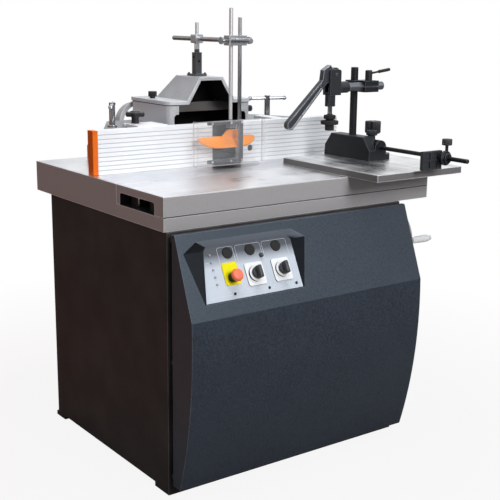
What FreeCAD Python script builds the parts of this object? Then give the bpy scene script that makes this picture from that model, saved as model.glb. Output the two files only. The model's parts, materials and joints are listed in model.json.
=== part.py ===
import FreeCAD, Part
import math
import os

V = FreeCAD.Vector

# The origin is on the floor, in the middle of the four anchor holes. X runs to the right along the front,
# Y runs to the back, and Z is up. All sizes are in millimetres.

# Clearances
running = 0.05
loose = 0.3
hairline = 0.5

# Cabinet of folded sheet
cabinet_width = 900.0
cabinet_depth = 762.0
sheet = 3.0
cabinet_bend = 18.0
cabinet_flange = 40.0
front_window_margin = 60.0
foot_height = 14.0
front_foot_depth = 80.0
rear_foot_depth = 64.0
anchor_radius = 7.0
anchor_inset_x = 45.0
anchor_inset_y = 36.0

# Rear door on lift-off hinges
door_width = 520.0
door_sill = 150.0
door_drop = 150.0
door_lap = 15.0
door_gap = 1.0
hinge_offset = 9.0
hinge_barrel_radius = 7.0
hinge_pin_radius = 4.0
knuckle_length = 30.0
hinge_inset = 80.0
hinge_leaf_width = 36.0
pull_length = 90.0
pull_radius = 6.0
pull_reach = 28.0
gland_radius = 12.0
gland_from_left = 90.0
gland_height = 110.0
gland_length = 30.0

# Cast table
table_length = 1040.0
table_depth = 840.0
table_height = 900.0
table_thickness = 100.0
table_plate = 30.0
table_wall = 18.0
table_overhang_left = 5.0
table_setback = 8.0
spindle_setback = 470.0
bolt_radius = 5.0
bolt_head_radius = 9.0
bolt_head_height = 8.0
table_bolt_count = 4

# Insert rings round the spindle
outer_ring_radius = 130.0
inner_ring_radius = 90.0
ring_bore_radius = 62.0
ring_thickness = 10.0
inner_ring_thickness = 5.0
ring_seat = 8.0

# Sliding table in front of the cast one
slide_depth = 270.0
slide_thickness = 59.0
slide_gap = 1.0
slide_travel = 280.0
tunnel_from_front = 50.0
tunnel_width = 200.0
tunnel_height = 36.0
tunnel_corner = 9.0
rail_radius = 12.0
rail_spacing = 110.0
rail_lift = 18.0
stand_length = 25.0
stand_inset = 25.0
stand_half_width = 20.0
slide_bearing_length = 50.0
slide_bearing_half_width = 18.0
edge_chamfer = 1.5

# Front cover
cover_width = 888.0
cover_wall = 3.0
cover_gap = 17.0
cover_drop = 3.0
cover_foot_height = 36.0
cover_top_reach = 30.0
cover_fold_reach = 119.0
cover_middle_reach = 110.0
cover_middle_drop = 263.0
cover_foot_reach = 54.0
cover_flange = 25.0
spacer_radius = 9.0

# Control recess on the cover's upper slope, which runs from the fold up past the recess
recess_from_left = 234.0
recess_foot_rim = 43.0
recess_side_rise = 152.0
recess_height = 181.0
recess_head_rim = 26.4
recess_bottom_half = 178.0
recess_side_half = 217.0
recess_top_half = 170.0
recess_depth_bottom = 2.0
recess_depth_top = 24.0
plate_foot_inset = 2.0
plate_head_inset = 16.0
plate_bottom_half = 174.0
plate_top_half_left = 138.0
plate_top_half_right = 178.0
plate_thickness = 1.5
plate_margin = 1.0

# Controls on the recess plate, across from its middle and up from its lower edge or down from its upper one
lamp_column = -122.0
lamp_first_rise = 51.0
lamp_count = 5
lamp_radius = 3.6
ready_lamp_radius = 7.0
ready_lamp_across = 54.0
ready_lamp_drop = 22.0
plug_across = (-60.0, 20.0, 115.0)
plug_drop = 26.5
plug_height = 4.0
plug_edge = 1.5
plug_radius = 17.0
stop_across = -66.0
switch_across = (16.0, 113.0)
control_gap = 22.5
stop_plate_width = 52.0
stop_plate_above = 45.0
stop_plate_below = 22.0
switch_plate_width = 64.0
switch_plate_height = 69.0
face_plate_corner = 8.0
control_plate_thickness = 3.0
stop_collar_radius = 15.0
stop_collar_height = 15.0
stop_stem_radius = 8.0
stop_cap_radius = 19.0
stop_cap_height = 14.0
stop_travel = 6.0
switch_collar_radius = 24.0
switch_collar_height = 6.0
switch_knob_radius = 19.0
switch_knob_height = 9.0
switch_grip_half = 7.0
switch_grip_height = 16.0
switch_stem_radius = 5.0
panel_screw_across = (-71.0, 52.0, 153.0)
panel_screw_rise = 16.0
panel_screw_radius = 4.0
panel_screw_height = 2.0

# Spindle, quill and housing
housing_flange_radius = 165.0
housing_flange_thickness = 20.0
housing_bolt_circle = 145.0
housing_bolt_count = 6
housing_radius = 82.0
housing_length = 310.0
quill_radius = 55.0
quill_length = 410.0
quill_drop = 150.0
lug_height = 36.0
lug_drop = 259.0
bearing_radius = 40.0
bearing_width = 35.0
bracket_lift = 5.0
spindle_radius = 20.0
collar_radius = 28.0
collar_height = 12.0
arbor_radius = 15.0
arbor_length = 126.0
arbor_ring_radius = 26.0
arbor_ring_height = 20.0
arbor_bevel = 2.0

# Motor, pulleys and belt
motor_spacing = 250.0
motor_radius = 88.0
motor_length = 200.0
motor_fin_reach = 7.0
motor_fin_count = 18
motor_fin_width = 4.0
fan_cover_height = 34.0
terminal_box_size = 70.0
motor_shaft_radius = 14.0
motor_shaft_seat = 40.0
bracket_thickness = 30.0
bracket_collar = 85.0
bracket_motor_flange = 100.0
pulley_step = 26.0
spindle_pulley_radii = (38.0, 45.0, 52.0, 59.0, 66.0)
motor_pulley_radii = (74.0, 67.0, 60.0, 53.0, 46.0)
belt_thickness = 5.0
belt_width = 20.0
pulley_gap = 5.0

# Lift screw, bevel pair, cross shaft, chain and handwheel
screw_offset = 130.0
screw_radius = 9.0
screw_journal_radius = 10.0
screw_collar_radius = 15.0
screw_collar_height = 14.0
screw_tail = 10.0
nut_radius = 18.0
nut_length = 45.0
bevel_inner = 22.0
bevel_outer = 40.0
bevel_rise = 49.0
shaft_radius = 10.0
hanger_thickness = 16.0
hanger_half_width = 30.0
hanger_from_screw = 75.0
hanger_from_sprocket = 24.0
sprocket_radius = 28.0
sprocket_width = 8.0
sprocket_inset = 45.0
chain_thickness = 7.0
wheel_setback = 98.0
bush_radius = 17.0
bush_flange_radius = 30.0
bush_flange_thickness = 8.0
bush_inside = 30.0
bush_outside = 22.0
wheel_radius = 100.0
wheel_rim_radius = 10.0
wheel_hub_radius = 22.0
wheel_hub_length = 40.0
wheel_spoke_radius = 7.0
wheel_spoke_count = 3
grip_radius = 12.5
grip_length = 82.0
grip_pin_radius = 5.0
grip_pin_head = 8.0

# Fence plates
fence_setback = 440.0
fence_gap = 120.0
fence_length = 430.0
fence_thickness = 35.0
fence_height = 140.0
fence_groove_count = 9
fence_groove_depth = 1.6
fence_groove_width = 3.2
end_cap_length = 18.0
end_cap_edge = 2.0
tongue_reach = 105.0
tongue_thickness = 12.0
tongue_slot_half = 45.0
left_tongue = (215.0, 325.0)
right_tongue = (215.0, 260.0)
clamp_screw_from_gap = 37.0
clamp_screw_height = 48.0
clamp_screw_radius = 11.0
clamp_screw_sink = 12.0

# Fence arms, hood and dust port
hood_half = 170.0
hood_setback = 100.0
hood_depth = 260.0
hood_height = 197.0
hood_wall = 12.0
hood_flange = 40.0
hood_corner = 20.0
mouth_flare = 18.0
mouth_flare_height = 165.0
mouth_corner = 12.0
hood_band_setback = 110.0
hood_band_height = 36.0
arm_height = 130.0
arm_setback = 96.0
arm_front_reach = 420.0
arm_rear_reach = 278.0
arm_depth = 242.0
arm_wall = 14.0
arm_rounding = 8.0
arm_lug_length = 70.0
arm_lug_across = 357.0
arm_lug_reach = 120.0
arm_lug_height = 55.0
fence_travel = 15.0
port_radius = 75.0
port_wall = 4.0
port_length = 50.0
port_offset = 130.0
port_height = 110.0
port_flange = 12.0
port_flange_thickness = 6.0
lid_thickness = 12.0
lid_lip = 3.0
arch_foot_half = 105.0
arch_top_half = 48.0
arch_rise = 78.0
arch_wall = 11.0
arch_top_depth = 150.0
arch_foot_depth = 205.0
lid_knob_across = 135.0
lid_knob_setback = 165.0
lid_knob_radius = 15.0
lid_knob_height = 24.0
knob_edge = 2.0
micro_knob_radius = 11.0
micro_knob_length = 24.0
micro_knob_height = 170.0

# Clamp handles and star knob of the fence
stud_radius = 8.0
left_stud_across = 352.0
right_stud_across = 289.0
stud_setback = 160.0
stud_seat = 20.0
stud_engagement = 45.0
handle_washer_radius = 16.0
handle_washer_height = 6.0
handle_post_radius = 10.0
handle_post_height = 74.0
handle_bar_radius = 6.0
handle_bar_length = 132.0
handle_ball_radius = 8.0
left_handle_turn = 58.0
right_handle_turn = -18.0
star_across = 288.0
star_setback = 120.0
star_stud_radius = 6.0
star_stud_depth = 25.0
star_hub_radius = 14.0
star_hub_height = 22.0
star_radius = 35.0
star_height = 20.0
star_lobe_count = 6
star_lobe_radius = 9.0

# Guard post, arm, rods, clear guard and shoe
post_across = -5.0
post_setback = 180.0
post_plate = 52.0
post_plate_height = 8.0
post_half = 13.5
post_edge = 4.0
post_height = 81.0
post_neck_radius = 9.0
guard_arm_height = 414.0
eye_half = 15.0
eye_length = 34.0
post_stub_radius = 6.0
post_stub_height = 40.0
guard_arm_radius = 8.0
guard_arm_rear = 150.0
guard_arm_front = 320.0
rod_radius = 6.5
rod_spacing = 36.0
rod_reach = 232.0
rod_block_margin = 12.0
rod_block_half_height = 16.0
visor_rod_low = 147.0
visor_rod_high = 518.0
shoe_rod_low = 75.0
shoe_rod_high = 488.0
visor_offset = 18.0
visor_thickness = 4.0
visor_low = 8.0
visor_high = 156.0
visor_left = 165.0
visor_right = 116.0
visor_return = 24.0
bracket_plate = 5.0
bracket_bar = 24.0
bracket_left = 120.0
bracket_right = 33.0
bracket_boss = 12.0
shoe_left = 157.0
shoe_right = 71.0
shoe_width = 44.0
shoe_front = 9.0
shoe_thickness = 8.0
shoe_low = 63.0
shoe_left_rise = 30.0
shoe_right_rise = 33.0
shoe_fin_half = 22.0
shoe_fin_top = 122.0
shoe_fin_thickness = 22.0
wing_screw_radius = 5.0
wing_screw_length = 16.0
wing_head_radius = 12.0
wing_head_thickness = 7.0

# Tenoning plate and its fence
tenon_side_overhang = 14.0
tenon_width = 373.0
tenon_overhang = 136.0
tenon_depth = 471.0
tenon_thickness = 22.0
tenon_fence_from_edge = 184.0
tenon_fence_setback = 240.0
tenon_fence_length = 231.0
tenon_fence_height = 78.0
tenon_fence_thickness = 44.0
tenon_fence_chamfer_run = 34.0
tenon_fence_chamfer_drop = 44.0
tenon_flange_width = 113.0
tenon_flange_height = 20.0
rod_boss_radius = 25.0
rod_boss_length = 94.0
rod_boss_across = 52.0
stop_rod_height = 43.0
stop_rod_radius = 7.0
stop_rod_length = 481.0
rod_knob_radius = 19.0
rod_knob_height = 18.0
rod_knob_stem_radius = 5.0
rod_knob_stem_height = 12.0
lobed_knob_across = 96.0
lobed_knob_setback = 89.0
lobed_knob_radius = 28.0
lobed_knob_height = 44.0
lobed_knob_stem_radius = 8.0
lobed_knob_stem_height = 60.0
lobed_knob_lobes = 7
lobed_knob_lobe_radius = 7.0

# Column, cross clamp, arm, head and lever of the tenoning clamp
column_size = 25.0
column_across = 27.0
column_setback = 116.0
column_height = 228.0
column_collar = 19.0
column_collar_height = 5.0
cross_height = 166.0
cross_half_height = 19.0
cross_wall = 9.0
cross_arm_gap = 40.0
cross_jaw_across = 51.0
cross_jaw_half = 30.0
jaw_split = 3.0
clamp_arm_radius = 14.0
clamp_arm_tail = 88.0
clamp_arm_reach = 140.0
arm_hub_radius = 19.0
arm_hub_length = 42.0
arm_seat = 2.0
head_half_width = 19.0
head_cheek = 8.0
head_body_half = 15.0
head_body_half_depth = 12.5
head_body_low = 61.0
head_body_high = -16.0
head_bridge_high = 16.0
head_bridge_left = 9.0
head_cheek_top = 59.0
head_cheek_left = 16.0
head_cheek_right = 30.0
pivot_across = 11.0
pivot_rise = 43.0
pivot_radius = 5.0
plunger_radius = 7.5
plunger_top = -2.0
plunger_low = 104.0
pad_collar_radius = 13.0
pad_disc_radius = 41.0
pad_disc_height = 12.0
pad_foot_radius = 22.0
pad_collar_height = 18.0
pad_foot_height = 24.0
lever_hub_radius = 23.0
lever_head_corners = ((-20.0, 31.0), (-48.0, 15.0), (-53.0, -24.0), (-24.0, -26.0))
lever_root_back = 40.0
lever_root_drop = 20.0
lever_reach = 180.0
lever_drop = 157.0
lever_half_width = 10.0
lever_root_half = 9.5
lever_tip_half = 15.0
lever_rim = 4.0
lever_recess = 3.5
lever_recess_start = 26.0
ratchet_across = 28.0
ratchet_hub_radius = 12.0
ratchet_hub_height = 34.0
ratchet_stud_radius = 5.0
ratchet_stud_depth = 4.0
ratchet_reach = 92.0
ratchet_bar_radius = 3.5
ratchet_grip_radius = 5.5
ratchet_rise = 12.0

# Flip stop on the stop rod
stop_hub_setback = 287.0
stop_hub_length = 20.0
stop_hub_radius = 21.0
stop_knob_radius = 16.0
stop_knob_height = 20.0
stop_knob_stem_radius = 5.0
stop_knob_stem_height = 20.0
flag_ring_length = 20.0
flag_ring_radius = 13.0
flag_thickness = 12.0
flag_reach = 84.0
flag_low = 36.0
flag_high = 23.0
flag_frame = 6.0
flag_pane_depth = 4.0

# Places that follow from the sizes above
cab_left = -cabinet_width / 2
cab_right = cabinet_width / 2
cab_front = -cabinet_depth / 2
cab_rear = cabinet_depth / 2
table_left = cab_left - table_overhang_left
table_right = table_left + table_length
table_front = cab_front + table_setback
table_rear = table_front + table_depth
table_bottom = table_height - table_thickness
plate_underside = table_height - table_plate
spindle_x = table_left + table_length / 2
spindle_y = table_front + spindle_setback
slide_bottom = table_height - slide_thickness
ledge_top = slide_bottom - slide_gap
fixed_front = table_front + slide_depth + slide_gap
rail_z = ledge_top + rail_lift
rail_ys = [table_front + tunnel_from_front + tunnel_width / 2 + side * rail_spacing / 2 for side in (-1, 1)]
bearing_shift = table_length / 2 - stand_inset - stand_length - slide_travel - slide_bearing_length - loose
floor_top = foot_height + sheet
door_height = table_bottom - door_drop - door_sill

cover_left = -cover_width / 2
cover_right = cover_width / 2
cover_back = cab_front - cover_gap
cover_top = table_bottom - cover_drop
recess_bottom = recess_foot_rim
recess_side = recess_bottom + recess_side_rise
recess_top = recess_bottom + recess_height
slope_length = recess_top + recess_head_rim
slope_run = cover_fold_reach - cover_top_reach
slope_rise = math.sqrt(slope_length ** 2 - slope_run ** 2)
plate_bottom_rise = recess_bottom + plate_foot_inset
plate_top_rise = recess_top - plate_head_inset
cover_fold_height = cover_top - slope_rise
cover_middle_height = cover_fold_height - cover_middle_drop

quill_top = table_height - quill_drop
quill_bottom = quill_top - quill_length
housing_bottom = plate_underside - housing_length
bracket_z = quill_bottom + bracket_lift
bracket_top = bracket_z + bracket_thickness
motor_x = spindle_x - motor_spacing
pulley_top = quill_bottom - pulley_gap
belt_place = len(spindle_pulley_radii) // 2
pulley_bottom = pulley_top - pulley_step * len(spindle_pulley_radii)
screw_x = spindle_x + screw_offset
lug_bottom = plate_underside - lug_drop - lug_height
lug_top = lug_bottom + lug_height
shaft_z = lug_top + bevel_rise
sprocket_x = cab_right - sprocket_inset
wheel_y = cab_front + wheel_setback
wheel_hub_x = cab_right + bush_outside + loose
wheel_rim_x = wheel_hub_x + wheel_hub_length / 2 + wheel_rim_radius
grip_start_x = wheel_rim_x + wheel_rim_radius + loose

fence_y = table_front + fence_setback
fence_low = table_height + hairline
fence_top = table_height + fence_height
arm_top = table_height + arm_height
hood_front = fence_y + hood_setback
hood_rear = hood_front + hood_depth
hood_top = table_height + hood_height
lid_top = hood_top + lid_thickness
arch_top = lid_top + arch_rise
arm_front = fence_y + arm_setback
arm_rear = arm_front + arm_depth
tongue_low = arm_top + loose
stud_y = fence_y + stud_setback
left_stud_x = spindle_x - left_stud_across
right_stud_x = spindle_x + right_stud_across
star_x = spindle_x - star_across
star_y = fence_y + star_setback
post_x = spindle_x + post_across
post_y = fence_y + post_setback
guard_arm_z = table_height + guard_arm_height
rod_y = post_y - rod_reach
visor_rod_x = post_x - rod_spacing / 2
shoe_rod_x = post_x + rod_spacing / 2
visor_back = rod_y - visor_offset
bracket_back = visor_back + bracket_plate

tenon_right = table_right + tenon_side_overhang
tenon_left = tenon_right - tenon_width
tenon_front = table_front - tenon_overhang
tenon_rear = tenon_front + tenon_depth
tenon_top = table_height + tenon_thickness
block_x = tenon_left + tenon_fence_from_edge
block_front = tenon_front + tenon_fence_setback
block_rear = block_front + tenon_fence_length
block_top = tenon_top + tenon_fence_height
flange_top = tenon_top + tenon_flange_height
stop_rod_x = block_x + rod_boss_across
stop_rod_z = tenon_top + stop_rod_height
stop_rod_rear = block_front + rod_boss_length
column_x = block_x + column_across
column_y = block_front + column_setback
column_top = block_top + column_height
clamp_z = block_top + cross_height
clamp_y = column_y - cross_arm_gap
head_x = column_x - clamp_arm_reach
jaw_x = block_x + cross_jaw_across
pivot_x = head_x + pivot_across
pivot_z = clamp_z + pivot_rise
ratchet_x = column_x + ratchet_across
stop_hub_y = block_front - stop_hub_setback


def block(x, y, z):
    """A box from three pairs of low and high values."""
    return Part.makeBox(x[1] - x[0], y[1] - y[0], z[1] - z[0], V(x[0], y[0], z[0]))


def bar(radius, start, end):
    """A round bar between two points."""
    run = V(*end) - V(*start)
    return Part.makeCylinder(radius, run.Length, V(*start), run)


def upright(radius, x, y, low, high):
    """A round bar that stands at one place in plan."""
    return bar(radius, (x, y, low), (x, y, high))


def along_x(radius, y, z, start, end):
    return bar(radius, (start, y, z), (end, y, z))


def along_y(radius, x, z, start, end):
    return bar(radius, (x, start, z), (x, end, z))


def cone(start_radius, end_radius, start, end):
    """A cone's slice between two points."""
    run = V(*end) - V(*start)
    return Part.makeCone(start_radius, end_radius, run.Length, V(*start), run)


def spot(axis, pair, along):
    """A point from its place along one axis and its other two coordinates, in X, Y, Z order."""
    if axis == "x":
        return V(along, pair[0], pair[1])
    if axis == "y":
        return V(pair[0], along, pair[1])
    return V(pair[0], pair[1], along)


def prism(points, axis, low, high):
    """A flat outline carried along one axis."""
    corners = [spot(axis, pair, low) for pair in points]
    face = Part.Face(Part.makePolygon(corners + corners[:1]))
    return face.extrude(spot(axis, (0, 0), high - low))


def edges_along(solid, axis, wanted):
    """The straight edges that run along one axis and whose middle is wanted."""
    direction = spot(axis, (0, 0), 1)
    found = []
    for edge in solid.Edges:
        if edge.Curve.TypeId != "Part::GeomLine":
            continue
        if abs(edge.tangentAt(edge.FirstParameter).dot(direction)) > 0.999 and wanted(edge.CenterOfMass):
            found.append(edge)
    return found


def round_edges(solid, radius, axis, wanted=lambda middle: True):
    return solid.makeFillet(radius, edges_along(solid, axis, wanted))


def bevel_edges(solid, size, axis, wanted=lambda middle: True):
    return solid.makeChamfer(size, edges_along(solid, axis, wanted))


def around(count, radius, start=0.0):
    """Evenly spaced offsets on a circle."""
    angles = [start + 2 * math.pi * step / count for step in range(count)]
    return [(radius * math.cos(angle), radius * math.sin(angle)) for angle in angles]


def loop_outline(first, first_radius, second, second_radius):
    """The outline of a tight band round two circles, as a face in the XY plane."""
    span = V(second[0] - first[0], second[1] - first[1], 0)
    heading = math.atan2(span.y, span.x)
    lean = math.acos((first_radius - second_radius) / span.Length)
    points = []
    for centre, radius in ((first, first_radius), (second, second_radius)):
        for side in (1, -1):
            angle = heading + side * lean
            points.append(V(centre[0] + radius * math.cos(angle), centre[1] + radius * math.sin(angle), 0))
    first_back = V(first[0] - first_radius * math.cos(heading), first[1] - first_radius * math.sin(heading),
                   0)
    second_back = V(second[0] + second_radius * math.cos(heading),
                    second[1] + second_radius * math.sin(heading), 0)
    edges = [Part.LineSegment(points[0], points[2]).toShape()]
    edges.append(Part.Arc(points[2], second_back, points[3]).toShape())
    edges.append(Part.LineSegment(points[3], points[1]).toShape())
    edges.append(Part.Arc(points[1], first_back, points[0]).toShape())
    return Part.Face(Part.Wire(edges))


def band(first, first_radius, second, second_radius, thickness, width):
    """A closed belt that runs just clear of two wheels, standing on the XY plane."""
    inside = loop_outline(first, first_radius + loose, second, second_radius + loose)
    outside = loop_outline(first, first_radius + loose + thickness, second,
                           second_radius + loose + thickness)
    return outside.cut(inside).extrude(V(0, 0, width))


def lobed_knob(x, y, low, radius, height, lobes, lobe_radius):
    """A hand knob with round notches between its lobes."""
    knob = upright(radius, x, y, low, low + height)
    notches = []
    for across, along in around(lobes, radius + lobe_radius * 0.45):
        notches.append(upright(lobe_radius, x + across, y + along, low, low + height))
    return knob.cut(notches)


def socket_bolt(x, y, low, high):
    """A bolt with its head at the bottom and its shank up."""
    head = upright(bolt_head_radius, x, y, low - bolt_head_height, low)
    return head.fuse(upright(bolt_radius, x, y, low, high))


# The cover's upper slope: a point across from the recess's middle, up from the fold, and sunk below the
# surface
recess_middle = cover_left + recess_from_left


def slope_spot(across, rise, depth):
    y = cab_front - cover_fold_reach + (rise * slope_run + depth * slope_rise) / slope_length
    z = cover_fold_height + (rise * slope_rise - depth * slope_run) / slope_length
    return V(recess_middle + across, y, z)


plate_origin = slope_spot(0, plate_bottom_rise, recess_depth_bottom)
plate_peak = slope_spot(0, plate_top_rise, recess_depth_top)
plate_length = (plate_peak - plate_origin).Length
plug_rise = plate_length - plug_drop
control_rise = plug_rise - plug_radius - control_gap - switch_plate_height / 2
lamp_step = (plug_rise - lamp_first_rise) / (lamp_count - 1)
plate_turn = math.degrees(math.atan2(plate_peak.z - plate_origin.z, plate_peak.y - plate_origin.y))


def on_panel(shape):
    """Carry a shape from the flat drawing of the control plate to its place in the recess."""
    placed = shape.copy()
    placed.rotate(V(0, 0, 0), V(1, 0, 0), plate_turn)
    placed.translate(plate_origin)
    return placed


def foot_rails():
    rails = []
    for low, high in ((cab_front, cab_front + front_foot_depth), (cab_rear - rear_foot_depth, cab_rear)):
        rail = block((cab_left, cab_right), (low, high), (0, foot_height))
        rails.append(rail.cut(anchor_holes()))
    return rails


def anchor_holes():
    holes = []
    for x in (cab_left + anchor_inset_x, cab_right - anchor_inset_x):
        for y in (cab_front + anchor_inset_y, cab_rear - anchor_inset_y):
            holes.append(upright(anchor_radius, x, y, -1, floor_top + 1))
    return holes


def cabinet_shell():
    def at_rear(middle):
        return middle.y > 0

    def wall(inset):
        box = block((cab_left + inset, cab_right - inset), (cab_front + inset, cab_rear - inset),
                    (foot_height + inset, table_bottom - inset))
        return round_edges(box, cabinet_bend - inset, "z", at_rear)

    mouth = block((cab_left + cabinet_flange, cab_right - cabinet_flange),
                  (cab_front + cabinet_flange, cab_rear - cabinet_flange),
                  (table_bottom - 2 * sheet, table_bottom + 1))
    window = block((cab_left + front_window_margin, cab_right - front_window_margin),
                   (cab_front - 1, cab_front + 2 * sheet),
                   (foot_height + front_window_margin, table_bottom - front_window_margin))
    doorway = block((-door_width / 2 + door_lap, door_width / 2 - door_lap),
                    (cab_rear - 2 * sheet, cab_rear + 1),
                    (door_sill + door_lap, door_sill + door_height - door_lap))
    wheel_hole = along_x(bush_radius, wheel_y, shaft_z, cab_right - 2 * sheet, cab_right + 1)
    gland_x = cab_left + gland_from_left
    gland_hole = along_y(gland_radius, gland_x, gland_height, cab_rear - 2 * sheet, cab_rear + 1)
    openings = [wall(sheet), mouth, window, doorway, wheel_hole, gland_hole]
    return wall(0).cut(openings + anchor_holes() + bolt_holes())


def table_bolt_places():
    spots = []
    for y in (cab_front + cabinet_flange / 2, cab_rear - cabinet_flange / 2):
        for step in range(table_bolt_count):
            share = (step + 0.5) / table_bolt_count
            spots.append((cab_left + share * cabinet_width, y))
    return spots


def bolt_holes():
    return [upright(bolt_radius, x, y, table_bottom - 2 * sheet, table_bottom + bolt_head_radius)
            for x, y in table_bolt_places()]


def table_bolts():
    return [socket_bolt(x, y, table_bottom - sheet, table_bottom + bolt_head_radius)
            for x, y in table_bolt_places()]


def cable_gland():
    x = cab_left + gland_from_left
    body = along_y(gland_radius, x, gland_height, cab_rear - 3 * sheet, cab_rear)
    nut = along_y(gland_radius * 1.4, x, gland_height, cab_rear, cab_rear + gland_length / 2)
    cap = cone(gland_radius * 1.2, gland_radius * 0.8, (x, cab_rear + gland_length / 2, gland_height),
               (x, cab_rear + gland_length, gland_height))
    bore = along_y(gland_radius * 0.4, x, gland_height, cab_rear - 4 * sheet, cab_rear + gland_length + 1)
    return body.fuse([nut, cap]).cut(bore)


# Rear door: the fixed knuckles carry the pins, and the door's knuckles drop over them
hinge_x = door_width / 2 + hinge_offset
hinge_y = cab_rear + hinge_offset
hinge_lows = (door_sill + hinge_inset, door_sill + door_height - hinge_inset - 2 * knuckle_length)


def door_hinges():
    hinges = []
    for low in hinge_lows:
        leaf = block((hinge_x, hinge_x + hinge_leaf_width), (cab_rear, cab_rear + sheet),
                     (low, low + knuckle_length))
        barrel = upright(hinge_barrel_radius, hinge_x, hinge_y, low, low + knuckle_length)
        pin_top = low + 2 * knuckle_length
        pin = upright(hinge_pin_radius, hinge_x, hinge_y, low, pin_top)
        hinges.append(leaf.fuse([barrel, pin]))
    return hinges


def rear_door():
    face = cab_rear + door_gap
    panel = block((-door_width / 2, door_width / 2), (face, face + sheet),
                  (door_sill, door_sill + door_height))
    extras = []
    bores = []
    for low in hinge_lows:
        start = low + knuckle_length + loose
        end = low + 2 * knuckle_length
        leaf = block((door_width / 2 - hinge_leaf_width, hinge_x), (face, face + sheet), (start, end))
        extras.append(leaf)
        extras.append(upright(hinge_barrel_radius, hinge_x, hinge_y, start, end))
        bores.append(upright(hinge_pin_radius + running, hinge_x, hinge_y, start, end))
    return panel.fuse(extras).cut(bores)


def door_pull():
    x = -door_width / 2 + hinge_inset
    low = door_sill + door_height / 2 - pull_length / 2
    high = low + pull_length
    face = cab_rear + door_gap + sheet
    grip = upright(pull_radius, x, face + pull_reach, low, high)
    legs = [along_y(pull_radius, x, z, face, face + pull_reach) for z in (low + pull_radius,
                                                                          high - pull_radius)]
    return grip.fuse(legs)


def cover_solid(inset):
    """The cover's full form, drawn in by a wall's thickness, with its lower front as one arc."""
    def at(reach, z):
        return V(cover_left + inset, cab_front - reach + inset, z)

    def back(z):
        return V(cover_left + inset, cover_back, z)

    peak = at(cover_top_reach, cover_top - inset)
    fold = at(cover_fold_reach, cover_fold_height)
    middle = at(cover_middle_reach, cover_middle_height)
    foot = at(cover_foot_reach, cover_foot_height + inset)
    edges = [Part.LineSegment(back(cover_top - inset), peak).toShape()]
    edges.append(Part.LineSegment(peak, fold).toShape())
    edges.append(Part.Arc(fold, middle, foot).toShape())
    edges.append(Part.LineSegment(foot, back(cover_foot_height + inset)).toShape())
    edges.append(Part.LineSegment(back(cover_foot_height + inset), back(cover_top - inset)).toShape())
    return Part.Face(Part.Wire(edges)).extrude(V(cover_width - 2 * inset, 0, 0))


def recess_solid(grow):
    """The recess's hollow, or its outside when grown by the wall."""
    mouth = [(-recess_bottom_half - grow, recess_bottom - grow),
             (recess_bottom_half + grow, recess_bottom - grow),
             (recess_side_half + grow, recess_side), (recess_top_half + grow, recess_top + grow),
             (-recess_top_half - grow, recess_top + grow), (-recess_side_half - grow, recess_side)]
    top_cut = (recess_side_half - recess_top_half) / 4
    floor = [(-plate_bottom_half - grow, plate_bottom_rise - grow),
             (plate_bottom_half + grow, plate_bottom_rise - grow),
             (plate_top_half_right + grow, plate_top_rise - top_cut), (plate_top_half_right - top_cut,
                                                                       plate_top_rise + grow),
             (top_cut - plate_top_half_left, plate_top_rise + grow), (-plate_top_half_left - grow,
                                                                      plate_top_rise - top_cut)]

    def depth_at(rise):
        share = (rise - plate_bottom_rise) / (plate_top_rise - plate_bottom_rise)
        return recess_depth_bottom + share * (recess_depth_top - recess_depth_bottom) + grow

    mouth_wire = Part.makePolygon([slope_spot(a, b, 0) for a, b in mouth + mouth[:1]])
    floor_wire = Part.makePolygon([slope_spot(a, b, depth_at(b)) for a, b in floor + floor[:1]])
    hollow = Part.makeLoft([mouth_wire, floor_wire], True, True)
    if grow:
        return hollow
    outward = slope_spot(0, 0, -4 * cover_wall) - slope_spot(0, 0, 0)
    return hollow.fuse(Part.Face(mouth_wire).extrude(outward))


def front_cover():
    shell = cover_solid(0).cut(cover_solid(cover_wall))
    rim_back = block((cover_left, cover_right), (cover_back - cover_wall, cover_back),
                     (cover_foot_height, cover_top))
    hole = block((cover_left + cover_flange, cover_right - cover_flange),
                 (cover_back - 2 * cover_wall, cover_back + 1),
                 (cover_foot_height + cover_flange, cover_top - cover_flange))
    rim = rim_back.common(cover_solid(0)).cut(hole)
    liner = recess_solid(cover_wall)
    return shell.fuse([rim, liner]).cut([recess_solid(0)] + panel_bores()).removeSplitter()


def cover_spacers():
    middle = cover_flange / 2
    spacers = []
    for x in (cover_left + middle, cover_right - middle):
        for z in (cover_foot_height + middle + spacer_radius, (cover_foot_height + cover_top) / 2,
                  cover_top - middle - spacer_radius):
            spacers.append(along_y(spacer_radius, x, z, cover_back, cab_front))
    return spacers


def panel_bores():
    """Holes through the plate and the cover behind it for the stems of the stop button and the switches."""
    stems = [(stop_across, stop_stem_radius)] + [(place, switch_stem_radius) for place in switch_across]
    return [on_panel(upright(radius + 2 * loose, x, control_rise, -3 * cover_wall, plate_thickness + 1))
            for x, radius in stems]


def control_plate():
    top_cut = (recess_side_half - recess_top_half) / 4
    corners = [(plate_margin - plate_bottom_half, plate_margin),
               (plate_bottom_half - plate_margin, plate_margin),
               (plate_top_half_right - plate_margin, plate_length - top_cut - plate_margin),
               (plate_top_half_right - top_cut - plate_margin, plate_length - plate_margin),
               (top_cut - plate_top_half_left + plate_margin, plate_length - plate_margin),
               (plate_margin - plate_top_half_left, plate_length - top_cut - plate_margin)]
    return on_panel(prism(corners, "z", 0, plate_thickness)).cut(panel_bores())


def blanking_plugs():
    plugs = []
    for x in plug_across:
        plug = upright(plug_radius, x, plug_rise, plate_thickness, plate_thickness + plug_height)
        plugs.append(on_panel(plug.makeFillet(plug_edge, [plug.Edges[0]])))
    return plugs


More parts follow.
